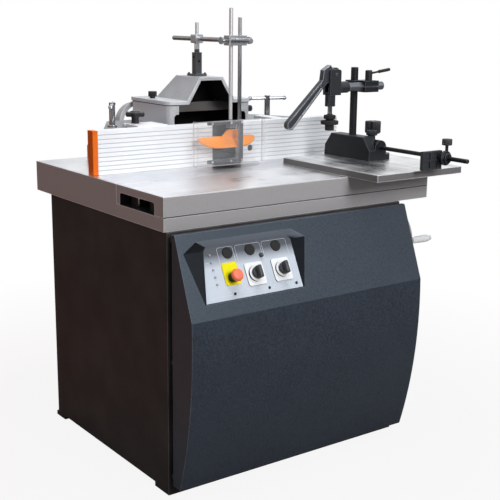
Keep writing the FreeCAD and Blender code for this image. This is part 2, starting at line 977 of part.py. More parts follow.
def indicator_lamps():
    spots = [(lamp_column, lamp_first_rise + step * lamp_step, lamp_radius) for step in range(lamp_count)]
    spots.append((ready_lamp_across, plug_rise - ready_lamp_drop, ready_lamp_radius))
    lamps = []
    for x, rise, radius in spots:
        base = upright(radius, x, rise, plate_thickness, plate_thickness + radius / 2)
        dome = Part.makeSphere(radius, V(x, rise, plate_thickness + radius / 2))
        keep = upright(radius * 2, x, rise, plate_thickness, plate_thickness + radius * 2)
        lamps.append(on_panel(base.fuse(dome.common(keep))))
    return lamps


def face_plate(x, width, below, above, bore):
    low = plate_thickness
    plate = block((x - width / 2, x + width / 2), (control_rise - below, control_rise + above),
                  (low, low + control_plate_thickness))
    return round_edges(plate, face_plate_corner, "z").cut(upright(bore, x, control_rise, 0, low * 9))


def stop_plate():
    low = plate_thickness + control_plate_thickness
    plate = face_plate(stop_across, stop_plate_width, stop_plate_below, stop_plate_above,
                       stop_stem_radius + 2 * loose)
    collar = upright(stop_collar_radius, stop_across, control_rise, low, low + stop_collar_height)
    bore = upright(stop_stem_radius + running, stop_across, control_rise, 0, low + stop_collar_height + 1)
    return on_panel(plate), on_panel(collar.cut(bore))


def stop_button():
    collar_top = plate_thickness + control_plate_thickness + stop_collar_height
    low = collar_top + stop_travel + loose
    stem = upright(stop_stem_radius, stop_across, control_rise, plate_thickness, low)
    cap = upright(stop_cap_radius, stop_across, control_rise, low, low + stop_cap_height)
    cap = cap.makeFillet(stop_cap_height * 0.6, [cap.Edges[0]])
    return on_panel(stem.fuse(cap))


def switch_plates():
    low = plate_thickness + control_plate_thickness
    plates = []
    for x in switch_across:
        collar = upright(switch_collar_radius, x, control_rise, low, low + switch_collar_height)
        bore = upright(switch_stem_radius + running, x, control_rise, 0, low * 9)
        half = switch_plate_height / 2
        plate = face_plate(x, switch_plate_width, half, half, switch_stem_radius + running)
        plates.append(on_panel(plate.fuse(collar.cut(bore))))
    return plates


def switch_knob(x):
    low = plate_thickness + control_plate_thickness + switch_collar_height + loose
    stem = upright(switch_stem_radius, x, control_rise, plate_thickness, low)
    disc = upright(switch_knob_radius, x, control_rise, low, low + switch_knob_height)
    grip = block((x - switch_grip_half, x + switch_grip_half),
                 (control_rise - switch_knob_radius * 1.25, control_rise + switch_knob_radius * 1.25),
                 (low, low + switch_knob_height + switch_grip_height))
    grip = round_edges(grip, switch_grip_half * 0.9, "z")
    return on_panel(stem.fuse([disc, grip]))


def panel_screws():
    screws = []
    for x in panel_screw_across:
        low = plate_thickness
        screws.append(on_panel(upright(panel_screw_radius, x, panel_screw_rise, low,
                                       low + panel_screw_height)))
    return screws


def table_casting():
    top = block((table_left, table_right), (fixed_front, table_rear), (table_bottom, table_height))
    pocket = block((table_left + table_wall, table_right - table_wall),
                   (fixed_front + table_wall, table_rear - table_wall), (table_bottom - 1, plate_underside))
    ledge = block((table_left, table_right), (table_front, fixed_front + table_wall),
                  (table_bottom, ledge_top))
    side_rib = block((cab_right - cabinet_flange, cab_right), (fixed_front, table_rear - table_wall),
                     (table_bottom, plate_underside))
    rear_rib = block((table_left + table_wall, cab_right), (cab_rear - cabinet_flange, cab_rear),
                     (table_bottom, plate_underside))
    casting = top.cut(pocket).fuse([ledge, side_rib, rear_rib]).removeSplitter()
    casting = bevel_edges(casting, edge_chamfer, "x", lambda middle: middle.z > table_height - 1)
    seat = upright(outer_ring_radius + loose, spindle_x, spindle_y, table_height - ring_thickness,
                   table_height + 1)
    throat = upright(outer_ring_radius - ring_seat, spindle_x, spindle_y, plate_underside - 1, table_height)
    bolts = [upright(bolt_radius, x, y, plate_underside - 1, plate_underside + table_plate / 2)
             for x, y in housing_bolt_places()]
    studs = [upright(stud_radius, x, stud_y, table_height - stud_seat, table_height + 1)
             for x in (left_stud_x, right_stud_x)]
    return casting.cut([seat, throat] + bolts + studs + bolt_holes())


def table_rings():
    low = table_height - ring_thickness
    split = table_height - inner_ring_thickness
    axis = (spindle_x, spindle_y)
    outer = bar(outer_ring_radius, axis + (low,), axis + (table_height,))
    rebate = bar(inner_ring_radius + loose, axis + (split,), axis + (table_height + 1,))
    hole = bar(inner_ring_radius - ring_seat, axis + (low - 1,), axis + (split + 1,))
    inner = bar(inner_ring_radius, axis + (split,), axis + (table_height,))
    bore = bar(ring_bore_radius, axis + (split - 1,), axis + (table_height + 1,))
    return [outer.cut([rebate, hole]), inner.cut(bore)]


def slide_rails():
    low = table_left + stand_inset
    high = table_right - stand_inset
    pieces = []
    for y in rail_ys:
        rail = along_x(rail_radius, y, rail_z, low, high)
        stands = []
        for start in (low, high - stand_length):
            stand = block((start, start + stand_length), (y - stand_half_width, y + stand_half_width),
                          (ledge_top, rail_z + rail_radius))
            stands.append(stand)
        pieces.append(rail.fuse(stands))
    return pieces


def sliding_table():
    top = block((table_left, table_right), (table_front, table_front + slide_depth),
                (slide_bottom, table_height))
    tunnel = block((table_left - 1, table_right + 1),
                   (table_front + tunnel_from_front, table_front + tunnel_from_front + tunnel_width),
                   (slide_bottom - 1, slide_bottom + tunnel_height))
    tunnel = round_edges(tunnel, tunnel_corner, "x", lambda middle: middle.z > slide_bottom)
    top = bevel_edges(top, edge_chamfer, "x", lambda middle: middle.z > table_height - 1)
    return top.cut(tunnel)


def slide_bearings():
    middle = (table_left + table_right) / 2
    ceiling = slide_bottom + tunnel_height
    pieces = []
    for y in rail_ys:
        for side in (-1, 1):
            x = middle + side * bearing_shift
            ends = sorted((x, x + side * slide_bearing_length))
            body = block(ends, (y - slide_bearing_half_width, y + slide_bearing_half_width),
                         (rail_z - rail_radius, ceiling))
            pieces.append(body.cut(along_x(rail_radius + running, y, rail_z, ends[0] - 1, ends[1] + 1)))
    return pieces


def housing_bolt_places():
    return [(spindle_x + a, spindle_y + b) for a,
            b in around(housing_bolt_count, housing_bolt_circle, math.pi / 6)]


def spindle_housing():
    axis = (spindle_x, spindle_y)
    flange_low = plate_underside - housing_flange_thickness
    flange = bar(housing_flange_radius, axis + (flange_low,), axis + (plate_underside,))
    barrel = bar(housing_radius, axis + (housing_bottom,), axis + (plate_underside,))
    lug = block((spindle_x, screw_x), (spindle_y - 2 * screw_journal_radius,
                                       spindle_y + 2 * screw_journal_radius),
                (lug_bottom, lug_top))
    lug_end = upright(2 * screw_journal_radius, screw_x, spindle_y, lug_bottom, lug_top)
    bore = bar(quill_radius + running, axis + (housing_bottom - 1,), axis + (plate_underside + 1,))
    journal = upright(screw_journal_radius + running, screw_x, spindle_y, lug_bottom - 1, lug_top + 1)
    bolts = [upright(bolt_radius, x, y, flange_low - 1, plate_underside + 1) for x,
             y in housing_bolt_places()]
    return flange.fuse([barrel, lug, lug_end]).cut([bore, journal] + bolts)


def housing_bolts():
    low = plate_underside - housing_flange_thickness
    return [socket_bolt(x, y, low, plate_underside + table_plate / 2) for x, y in housing_bolt_places()]


def quill():
    """The sleeve that rises and falls, with a bearing in each end."""
    axis = (spindle_x, spindle_y)
    sleeve = bar(quill_radius, axis + (quill_bottom,), axis + (quill_top,))
    bore = bar(spindle_radius + running, axis + (quill_bottom - 1,), axis + (quill_top + 1,))
    hollow = bar(bearing_radius, axis + (quill_bottom + bearing_width,),
                 axis + (quill_top - bearing_width,))
    return sleeve.cut([bore, hollow])


collar_low = quill_top + slide_gap
arbor_low = collar_low + collar_height
arbor_top = arbor_low + arbor_length


def stepped_pulley(x, radii):
    steps = []
    for index, radius in enumerate(radii):
        high = pulley_top - index * pulley_step
        steps.append(upright(radius, x, spindle_y, high - pulley_step, high))
    return steps[0].fuse(steps[1:])


def spindle():
    axis = (spindle_x, spindle_y)
    shaft = bar(spindle_radius, axis + (pulley_bottom,), axis + (collar_low,))
    collar = bar(collar_radius, axis + (collar_low,), axis + (arbor_low,))
    ring = bar(arbor_ring_radius, axis + (arbor_low,), axis + (arbor_low + arbor_ring_height,))
    arbor = bar(arbor_radius, axis + (arbor_low,), axis + (arbor_top - arbor_bevel,))
    tip = cone(arbor_radius, arbor_radius - arbor_bevel, axis + (arbor_top - arbor_bevel,),
               axis + (arbor_top,))
    pulley = stepped_pulley(spindle_x, spindle_pulley_radii)
    return shaft.fuse([collar, ring, arbor, tip, pulley])


def motor_rotor():
    shaft_top = bracket_top + motor_shaft_seat
    shaft = upright(motor_shaft_radius, motor_x, spindle_y, pulley_bottom, shaft_top)
    return stepped_pulley(motor_x, motor_pulley_radii).fuse(shaft)


def drive_belt():
    loop = band((spindle_x, spindle_y), spindle_pulley_radii[belt_place], (motor_x, spindle_y),
                motor_pulley_radii[belt_place], belt_thickness, belt_width)
    middle = pulley_top - (belt_place + 0.5) * pulley_step
    loop.translate(V(0, 0, middle - belt_width / 2))
    return loop


def motor_bracket():
    levels = (bracket_z, bracket_top)
    collar = upright(bracket_collar, spindle_x, spindle_y, levels[0], levels[1])
    flange = upright(bracket_motor_flange, motor_x, spindle_y, levels[0], levels[1])
    web = block((motor_x, spindle_x), (spindle_y - quill_radius, spindle_y + quill_radius), levels)
    nut_arm = block((spindle_x, screw_x), (spindle_y - nut_radius, spindle_y + nut_radius), levels)
    nut_eye = upright(nut_radius * 1.6, screw_x, spindle_y, levels[0], levels[1])
    cuts = [upright(quill_radius, spindle_x, spindle_y, levels[0] - 1, levels[1] + 1),
            upright(motor_shaft_radius * 2, motor_x, spindle_y, levels[0] - 1, levels[1] + 1),
            upright(nut_radius, screw_x, spindle_y, levels[0] - 1, levels[1] + 1)]
    return collar.fuse([flange, web, nut_arm, nut_eye]).cut(cuts)


def motor():
    top = bracket_top + motor_length
    body = upright(motor_radius, motor_x, spindle_y, bracket_top, top)
    fins = []
    for step in range(motor_fin_count):
        fin = block((motor_x, motor_x + motor_radius + motor_fin_reach),
                    (spindle_y - motor_fin_width / 2, spindle_y + motor_fin_width / 2),
                    (bracket_top + motor_fin_reach, top - motor_fin_reach))
        fin.rotate(V(motor_x, spindle_y, 0), V(0, 0, 1), 360.0 * step / motor_fin_count)
        fins.append(fin)
    cap = upright(motor_radius, motor_x, spindle_y, top, top + fan_cover_height)
    cap = cap.makeFillet(motor_fin_reach, [cap.Edges[0]])
    half = terminal_box_size / 2
    middle = bracket_top + motor_length / 2
    box = block((motor_x - half, motor_x + half),
                (spindle_y + motor_radius / 2, spindle_y + motor_radius + half), (middle - half,
                                                                                  middle + half))
    seat = upright(motor_shaft_radius + running, motor_x, spindle_y, bracket_top - 1,
                   bracket_top + motor_shaft_seat + loose)
    return body.fuse(fins + [cap, box]).cut(seat)


def lift_nut():
    middle = (bracket_z + bracket_top) / 2
    low = middle - nut_length / 2
    nut = upright(nut_radius, screw_x, spindle_y, low, low + nut_length)
    bore = upright(screw_radius + running, screw_x, spindle_y, low - 1, low + nut_length + 1)
    return nut.cut(bore)


def lift_screw():
    axis = (screw_x, spindle_y)
    low = bracket_z - screw_tail
    gear_low = shaft_z - bevel_outer
    gear_high = shaft_z - bevel_inner
    thread = bar(screw_radius, axis + (low,), axis + (lug_bottom,))
    collar = bar(screw_collar_radius, axis + (lug_bottom - loose - screw_collar_height,),
                 axis + (lug_bottom - loose,))
    journal = bar(screw_journal_radius, axis + (lug_bottom - loose,), axis + (gear_high,))
    gear = cone(bevel_outer - loose, bevel_inner - loose, axis + (gear_low,), axis + (gear_high,))
    return thread.fuse([collar, journal, gear])


def cross_shaft():
    start = screw_x + bevel_inner
    end = sprocket_x + sprocket_width + screw_tail
    shaft = along_x(shaft_radius, spindle_y, shaft_z, start, end)
    gear = cone(bevel_inner - loose, bevel_outer - loose, (start, spindle_y, shaft_z),
                (screw_x + bevel_outer, spindle_y, shaft_z))
    sprocket = along_x(sprocket_radius, spindle_y, shaft_z, sprocket_x, sprocket_x + sprocket_width)
    return shaft.fuse([gear, sprocket])


def shaft_hangers():
    hangers = []
    for x in (screw_x + hanger_from_screw, sprocket_x - hanger_from_sprocket - hanger_thickness):
        plate = block((x, x + hanger_thickness),
                      (spindle_y - hanger_half_width, spindle_y + hanger_half_width),
                      (shaft_z - 2 * shaft_radius, plate_underside))
        hangers.append(plate.cut(along_x(shaft_radius + running, spindle_y, shaft_z, x - 1,
                                         x + hanger_thickness + 1)))
    return hangers


def lift_chain():
    loop = band((wheel_y, shaft_z), sprocket_radius, (spindle_y, shaft_z), sprocket_radius,
                chain_thickness, sprocket_width)
    loop.rotate(V(0, 0, 0), V(1, 1, 1), 120)
    loop.translate(V(sprocket_x, 0, 0))
    return loop


def wheel_bush():
    start = cab_right - bush_inside
    end = cab_right + bush_outside
    tube = along_x(bush_radius, wheel_y, shaft_z, start, end)
    flange = along_x(bush_flange_radius, wheel_y, shaft_z, cab_right, cab_right + bush_flange_thickness)
    bore = along_x(shaft_radius + running, wheel_y, shaft_z, start - 1, end + 1)
    return tube.fuse(flange).cut(bore)


def handwheel():
    hub_end = wheel_hub_x + wheel_hub_length
    hub = along_x(wheel_hub_radius, wheel_y, shaft_z, wheel_hub_x, hub_end)
    rim = Part.makeTorus(wheel_radius, wheel_rim_radius, V(wheel_rim_x, wheel_y, shaft_z), V(1, 0, 0))
    spokes = [bar(wheel_spoke_radius, (wheel_hub_x + wheel_hub_length / 2, wheel_y, shaft_z),
                  (wheel_rim_x, wheel_y + a, shaft_z + b))
              for a, b in around(wheel_spoke_count, wheel_radius, math.pi)]
    pin_end = grip_start_x + grip_length + loose
    grip_y = wheel_y - wheel_radius
    pin = along_x(grip_pin_radius, grip_y, shaft_z, wheel_rim_x, pin_end)
    head = along_x(grip_pin_head, grip_y, shaft_z, pin_end, pin_end + grip_pin_radius)
    return hub.fuse([rim, pin, head] + spokes)


def wheel_shaft():
    start = sprocket_x - screw_tail
    shaft = along_x(shaft_radius, wheel_y, shaft_z, start, wheel_hub_x)
    sprocket = along_x(sprocket_radius, wheel_y, shaft_z, sprocket_x, sprocket_x + sprocket_width)
    return shaft.fuse(sprocket)


def wheel_grip():
    grip_y = wheel_y - wheel_radius
    end = grip_start_x + grip_length
    grip = along_x(grip_radius, grip_y, shaft_z, grip_start_x, end)
    grip = grip.makeFillet(grip_radius * 0.35, [edge for edge in grip.Edges if edge.Closed])
    return grip.cut(along_x(grip_pin_radius + running, grip_y, shaft_z, grip_start_x - 1, end + 1))


# Fence: each plate hangs on a tongue that lies on its arm
left_plate_end = spindle_x - fence_gap / 2
right_plate_start = spindle_x + fence_gap / 2
fence_pitch = fence_height / (fence_groove_count + 1)


def fence_section():
    back = fence_y + fence_thickness
    points = [(back, fence_low), (back, fence_top), (fence_y, fence_top)]
    for step in range(fence_groove_count, 0, -1):
        z = table_height + step * fence_pitch
        half = fence_groove_width / 2
        points += [(fence_y, z + half), (fence_y + fence_groove_depth, z + half / 2),
                   (fence_y + fence_groove_depth, z - half / 2), (fence_y, z - half)]
    return points + [(fence_y, fence_low)]


def tongue(start, end, slot_x):
    back = fence_y + fence_thickness
    plate = block((start, end), (back, back + tongue_reach), (tongue_low, tongue_low + tongue_thickness))
    rib = block((start, end), (back, back + tongue_thickness),
                (tongue_low - tongue_thickness, tongue_low + 1))
    slot = block((slot_x - tongue_slot_half, slot_x + tongue_slot_half),
                 (star_y - star_stud_radius - loose, star_y + star_stud_radius + loose),
                 (tongue_low - 1, tongue_low + tongue_thickness + 1))
    return plate.fuse(rib), slot


def left_fence_plate():
    plate = prism(fence_section(), "x", left_plate_end - fence_length, left_plate_end)
    piece, slot = tongue(spindle_x - left_tongue[1], spindle_x - left_tongue[0], star_x)
    return plate.fuse(piece).cut(slot)


def right_fence_plate():
    plate = prism(fence_section(), "x", right_plate_start, right_plate_start + fence_length)
    back = fence_y + fence_thickness
    start = spindle_x + right_tongue[0]
    piece = block((start, spindle_x + right_tongue[1]), (back, back + tongue_reach),
                  (tongue_low, tongue_low + tongue_thickness))
    rib = block((start, spindle_x + right_tongue[1]), (back, back + tongue_thickness),
                (tongue_low - tongue_thickness, tongue_low + 1))
    x = right_plate_start + clamp_screw_from_gap
    z = table_height + clamp_screw_height
    sink = along_y(clamp_screw_radius, x, z, fence_y - 1, fence_y + clamp_screw_sink)
    socket = along_y(clamp_screw_radius * 0.45, x, z, fence_y, fence_y + 1.6 * clamp_screw_sink)
    return plate.fuse([piece, rib]).cut([sink, socket])


def left_end_cap():
    start = left_plate_end - fence_length - end_cap_length
    cap = block((start, start + end_cap_length), (fence_y, fence_y + fence_thickness),
                (fence_low, fence_top))
    return round_edges(cap, end_cap_edge, "z", lambda middle: middle.x < start + end_cap_edge)


def fence_arm(side, stud_x):
    """A hollow arm beside the hood, drawn for the left and turned over for the right."""
    def x(across):
        return spindle_x + side * across

    def outline(inset):
        return [(x(arm_front_reach - 2 * inset), arm_front + inset),
                (x(hood_half + inset), arm_front + inset),
                (x(hood_half + inset), arm_rear - inset), (x(arm_rear_reach - 2 * inset), arm_rear - inset)]

    arm = prism(outline(0), "z", fence_low, arm_top)
    lug_ends = sorted((x(arm_lug_across), x(arm_lug_across - arm_lug_reach)))
    lug = block(lug_ends, (arm_rear - arm_lug_length, arm_rear), (fence_low, table_height + arm_lug_height))
    lug = round_edges(lug, arm_rounding, "y", lambda middle: middle.z > fence_low + 1)
    arm = arm.makeFillet(arm_rounding, edges_along(arm, "x", lambda middle: middle.z > arm_top - 1))
    solid = arm.fuse(lug)
    pocket = prism(outline(arm_wall), "z", fence_low - 1, arm_top - 2 * arm_wall)
    width = stud_radius + 1
    slot = block((stud_x - width, stud_x + width), (stud_y - fence_travel, stud_y),
                 (fence_low - 1, arm_top + 1))
    ends = [upright(width, stud_x, y, fence_low - 1, arm_top + 1) for y in (stud_y - fence_travel, stud_y)]
    return solid.cut([pocket, slot] + ends)


def left_fence_arm():
    hole = upright(star_stud_radius + running, star_x, star_y, arm_top - star_stud_depth - loose,
                   arm_top + 1)
    return fence_arm(-1, left_stud_x).cut(hole)


def right_fence_arm():
    return fence_arm(1, right_stud_x)


def hood_body():
    left = spindle_x - hood_half
    right = spindle_x + hood_half
    outer = block((left, right), (hood_front, hood_rear), (fence_low, hood_top))
    outer = round_edges(outer, hood_corner, "z")
    inner = block((left + hood_wall, right - hood_wall), (hood_front + hood_wall, hood_rear - hood_wall),
                  (fence_low - 1, hood_top + 1))
    mouth = block((left + hood_flange, right - hood_flange), (hood_front - 1, hood_front + 2 * hood_wall),
                  (fence_low - 1, hood_top + 1))
    flare = block((left + hood_flange - mouth_flare, right - hood_flange + mouth_flare),
                  (hood_front - 1, hood_front + 2 * hood_wall),
                  (fence_low - 1, table_height + mouth_flare_height))
    flare = round_edges(flare, mouth_corner, "y", lambda middle: middle.z > fence_low)
    band_y = hood_front + hood_band_setback
    band = block((left + hood_wall, right - hood_wall), (band_y, band_y + hood_wall),
                 (hood_top - hood_band_height, hood_top))
    port_x = spindle_x - port_offset
    port_z = table_height + port_height
    opening = along_y(port_radius - port_wall, port_x, port_z, hood_rear - 2 * hood_wall, hood_rear + 1)
    keep = block((left + 2 * hood_wall, right), (hood_rear - 2 * hood_wall, hood_rear + 1),
                 (fence_low, hood_top - hood_wall))
    return outer.cut([inner, mouth, flare, opening.common(keep)]).fuse(band)


def dust_port():
    x = spindle_x - port_offset
    z = table_height + port_height
    flange_y = hood_rear + port_flange_thickness
    tube = along_y(port_radius, x, z, hood_rear, flange_y + port_length)
    flange = along_y(port_radius + port_flange, x, z, hood_rear, flange_y)
    bore = along_y(port_radius - port_wall, x, z, hood_rear - 1, flange_y + port_length + 1)
    return tube.fuse(flange).cut(bore)


def lid_outline(inset, low):
    """The lid's section across: flat wings and an arch between them."""
    foot = arch_foot_half - inset * 1.25
    top = arch_top_half - inset * 0.6
    return [(spindle_x - foot, low), (spindle_x - top, arch_top - inset),
            (spindle_x + top, arch_top - inset),
            (spindle_x + foot, low)]


def hood_lid():
    front = hood_front - lid_lip
    rear = hood_rear + lid_lip
    wings = block((spindle_x - hood_half - lid_lip, spindle_x + hood_half + lid_lip), (front, rear),
                  (hood_top, lid_top))
    wings = round_edges(wings, hood_corner, "z")
    arch = prism(lid_outline(0, hood_top), "y", front, front + arch_foot_depth)
    slant = [(front + arch_top_depth, arch_top + 1), (front + arch_foot_depth, lid_top),
             (front + arch_foot_depth + 1, lid_top), (front + arch_foot_depth + 1, arch_top + 1)]
    cutter = prism(slant, "x", spindle_x - hood_half, spindle_x + hood_half)
    hollow = prism(lid_outline(arch_wall, hood_top - 1), "y", front - 1, front + arch_top_depth - arch_wall)
    knobs = [upright(lid_knob_radius / 3, spindle_x + side * lid_knob_across, hood_front + lid_knob_setback,
                     hood_top, lid_top + 1) for side in (-1, 1)]
    return wings.fuse(arch.cut(cutter)).cut([hollow] + knobs)


def lid_knobs():
    pieces = []
    for side in (-1, 1):
        x = spindle_x + side * lid_knob_across
        y = hood_front + lid_knob_setback
        knob = upright(lid_knob_radius, x, y, lid_top, lid_top + lid_knob_height)
        knob = knob.makeFillet(knob_edge, [knob.Edges[0]])
        pieces.append(knob.fuse(upright(lid_knob_radius / 3, x, y, hood_top, lid_top)))
    x = spindle_x + hood_half
    y = hood_front + hood_corner + micro_knob_radius
    z = table_height + micro_knob_height
    pieces.append(along_x(micro_knob_radius, y, z, x, x + micro_knob_length))
    return pieces


def clamp_studs():
    top = arm_top + loose + handle_washer_height + stud_engagement
    return [upright(stud_radius, x, stud_y, table_height - stud_seat, top) for x in (left_stud_x,
                                                                                     right_stud_x)]


def clamp_handle(x, turn):
    low = arm_top + loose
    post_low = low + handle_washer_height
    post_top = post_low + handle_post_height
    bar_z = post_top - handle_post_radius
    washer = upright(handle_washer_radius, x, stud_y, low, post_low)
    post = upright(handle_post_radius, x, stud_y, post_low, post_top)
    half = handle_bar_length / 2
    cross = along_x(handle_bar_radius, stud_y, bar_z, x - half, x + half)
    balls = [Part.makeSphere(handle_ball_radius, V(x + side * half, stud_y, bar_z)) for side in (-1, 1)]
    cross = cross.fuse(balls)
    cross.rotate(V(x, stud_y, 0), V(0, 0, 1), turn)
    bore = upright(stud_radius + running, x, stud_y, low - 1, post_low + stud_engagement + loose)
    return washer.fuse([post, cross]).cut(bore)


def star_knob():
    low = tongue_low + tongue_thickness + loose
    stud = upright(star_stud_radius, star_x, star_y, arm_top - star_stud_depth, low)
    hub = upright(star_hub_radius, star_x, star_y, low, low + star_hub_height)
    head = lobed_knob(star_x, star_y, low + star_hub_height, star_radius, star_height, star_lobe_count,
                      star_lobe_radius)
    return stud.fuse([hub, head])


def guard_post():
    def square(half, height):
        column = block((post_x - half, post_x + half), (post_y - half, post_y + half),
                       (arch_top, arch_top + height))
        return round_edges(column, post_edge, "z")

    foot = square(post_plate / 2, post_plate_height)
    column = square(post_half, post_height)
    neck = upright(post_neck_radius, post_x, post_y, arch_top, guard_arm_z)
    eye = block((post_x - eye_half, post_x + eye_half), (post_y - eye_length / 2, post_y + eye_length / 2),
                (guard_arm_z - eye_half, guard_arm_z + eye_half))
    eye = round_edges(eye, eye_half / 3, "y")
    bore = along_y(guard_arm_radius + running, post_x, guard_arm_z, post_y - eye_length,
                   post_y + eye_length)
    stub = upright(post_stub_radius, post_x, post_y, guard_arm_z + eye_half,
                   guard_arm_z + eye_half + post_stub_height)
    return foot.fuse([column, neck, eye, stub]).cut(bore)


def guard_arm():
    start = post_y + guard_arm_rear
    end = post_y - guard_arm_front
    return along_y(guard_arm_radius, post_x, guard_arm_z, start, end)


def rod_clamp():
    low = guard_arm_z - rod_block_half_height
    high = guard_arm_z + rod_block_half_height
    half = rod_spacing / 2 + rod_radius + rod_block_margin
    body = block((post_x - half, post_x + half),
                 (rod_y - rod_block_margin - rod_radius, rod_y + rod_block_margin + rod_radius),
                 (low, high))
    body = round_edges(body, rod_block_margin / 2, "z")
    bores = [upright(rod_radius + running, x, rod_y, low - 1, high + 1) for x in (visor_rod_x, shoe_rod_x)]
    bores.append(along_y(guard_arm_radius, post_x, guard_arm_z, rod_y - 2 * half, rod_y + 2 * half))
    screws = []
    for side in (-1, 1):
        x = post_x + side * half
        stem_end = x + side * wing_screw_length
        screws.append(along_x(wing_screw_radius, rod_y, guard_arm_z, x, stem_end))
        screws.append(along_x(wing_head_radius, rod_y, guard_arm_z, stem_end,
                              stem_end + side * wing_head_thickness))
    return body.cut(bores).fuse(screws)


def visor_rod():
    return upright(rod_radius, visor_rod_x, rod_y, table_height + visor_rod_low,
                   table_height + visor_rod_high)


def visor_bracket():
    levels = (table_height + visor_low + bracket_bar / 3, table_height + visor_high - visor_thickness)
    depth = (visor_back, bracket_back)
    left = post_x - bracket_left
    right = post_x + bracket_right
    top = block((left, right), depth, (levels[1] - bracket_bar, levels[1]))
    bottom = block((left, right), depth, (levels[0], levels[0] + bracket_bar))
    side_bar = block((right - bracket_bar, right), depth, levels)
    boss = block((visor_rod_x - bracket_boss, visor_rod_x + bracket_boss),
                 (visor_back, rod_y + bracket_boss),
                 (levels[1] - bracket_bar, levels[1]))
    boss = round_edges(boss, bracket_boss / 2, "z", lambda middle: middle.y > rod_y)
    bore = upright(rod_radius, visor_rod_x, rod_y, table_height + visor_rod_low, levels[1] + 1)
    return top.fuse([bottom, side_bar, boss]).cut(bore).removeSplitter()


def clear_visor():
    face = visor_back - visor_thickness
    left = post_x - visor_left
    right = post_x + visor_right
    levels = (table_height + visor_low, table_height + visor_high)
    outer = block((left, right), (face, face + visor_return), levels)
    outer = round_edges(outer, visor_return / 3, "z", lambda middle: middle.y < face + 1)
    inner = block((left + visor_thickness, right - visor_thickness), (visor_back, face + visor_return + 1),
                  (levels[0] - 1, levels[1] + 1))
    inner = round_edges(inner, visor_return / 3 - visor_thickness, "z",
                        lambda middle: middle.y < visor_back + 1)
    return outer.cut(inner)


def shoe_rod():
    return upright(rod_radius, shoe_rod_x, rod_y, table_height + shoe_rod_low, table_height + shoe_rod_high)


def pressure_shoe():
    """A boat-shaped shoe: an upturned strip with a fin round its rod."""
    y_low = rod_y - shoe_front
    z = table_height + shoe_low

    def strip_arc(lift):
        left = V(shoe_rod_x - shoe_left, y_low, z + shoe_left_rise + lift)
        low = V(shoe_rod_x - shoe_left / 4, y_low, z + lift)
        right = V(shoe_rod_x + shoe_right, y_low, z + shoe_right_rise + lift)
        return left, low, right

    under = strip_arc(0)
    over = strip_arc(shoe_thickness)
    edges = [Part.Arc(*under).toShape(), Part.LineSegment(under[2], over[2]).toShape(),
             Part.Arc(over[2], over[1], over[0]).toShape(), Part.LineSegment(over[0], under[0]).toShape()]
    strip = Part.Face(Part.Wire(edges)).extrude(V(0, shoe_width, 0))
    plan = block((under[0].x, under[2].x), (y_low, y_low + shoe_width),
                 (z - shoe_thickness, table_height + shoe_fin_top))
    strip = strip.common(round_edges(plan, shoe_width * 0.42, "z"))
    fin_y = rod_y + rod_radius / 2
    fin_low = z + shoe_thickness / 2
    fin_top = table_height + shoe_fin_top
    fin_left = shoe_rod_x - shoe_fin_half * 0.8
    toe = shoe_rod_x - 3 * shoe_fin_half
    fin_points = [(toe, fin_low), (shoe_rod_x + shoe_fin_half, fin_low + shoe_thickness / 2),
                  (shoe_rod_x + shoe_fin_half, fin_top), (fin_left, fin_top),
                  (fin_left, fin_low + 2 * shoe_thickness), (toe, fin_low + shoe_thickness)]
    fin = prism(fin_points, "y", fin_y - shoe_fin_thickness / 2, fin_y + shoe_fin_thickness / 2)
    hole = upright(rod_radius, shoe_rod_x, rod_y, table_height + shoe_rod_low, table_height + shoe_rod_high)
    return strip.fuse(fin).cut(hole)


def tenon_plate():
    plate = block((tenon_left, tenon_right), (tenon_front, tenon_rear), (table_height, tenon_top))
    relief = block((tenon_left - 1, tenon_right + 1), (table_front + slide_depth, tenon_rear + 1),
                   (table_height - 1, table_height + hairline))
    plate = bevel_edges(plate, edge_chamfer, "z")
    stem = bar(lobed_knob_stem_radius, lobed_knob_place(table_height), lobed_knob_place(tenon_top + 1))
    return plate.cut([relief, stem])


def lobed_knob_place(z):
    return (block_x + lobed_knob_across, block_front + lobed_knob_setback, z)


def tenon_fence():
    points = [(block_front, tenon_top), (block_rear, tenon_top),
              (block_rear, block_top - tenon_fence_chamfer_drop),
              (block_rear - tenon_fence_chamfer_run, block_top), (block_front + tenon_fence_chamfer_run,
                                                                  block_top),
              (block_front, block_top - tenon_fence_chamfer_drop)]
    wall = prism(points, "x", block_x, block_x + tenon_fence_thickness)
    wall = wall.makeChamfer(edge_chamfer, [edge for edge in wall.Edges if edge.CenterOfMass.x < block_x + 1
                                           and edge.CenterOfMass.z > tenon_top + 1])
    flange = block((block_x, block_x + tenon_flange_width), (block_front, block_rear),
                   (tenon_top, flange_top))
    flange = bevel_edges(flange, tenon_flange_height, "z", lambda middle: middle.x > block_x + 1)
    boss = along_y(rod_boss_radius, stop_rod_x, stop_rod_z, block_front, stop_rod_rear)
    boss_foot = block((stop_rod_x - rod_boss_radius, stop_rod_x + rod_boss_radius),
                      (block_front, stop_rod_rear),
                      (tenon_top, stop_rod_z))
    cuts = [along_y(stop_rod_radius, stop_rod_x, stop_rod_z, block_front - 1,
                    stop_rod_rear - stop_rod_radius),
            bar(lobed_knob_stem_radius, lobed_knob_place(tenon_top - 1), lobed_knob_place(flange_top + 1)),
            upright(rod_knob_stem_radius, stop_rod_x, rod_knob_y, stop_rod_z,
                    stop_rod_z + 2 * rod_boss_radius)]
    return wall.fuse([flange, boss, boss_foot]).cut(cuts)


rod_knob_y = block_front + rod_boss_length / 2


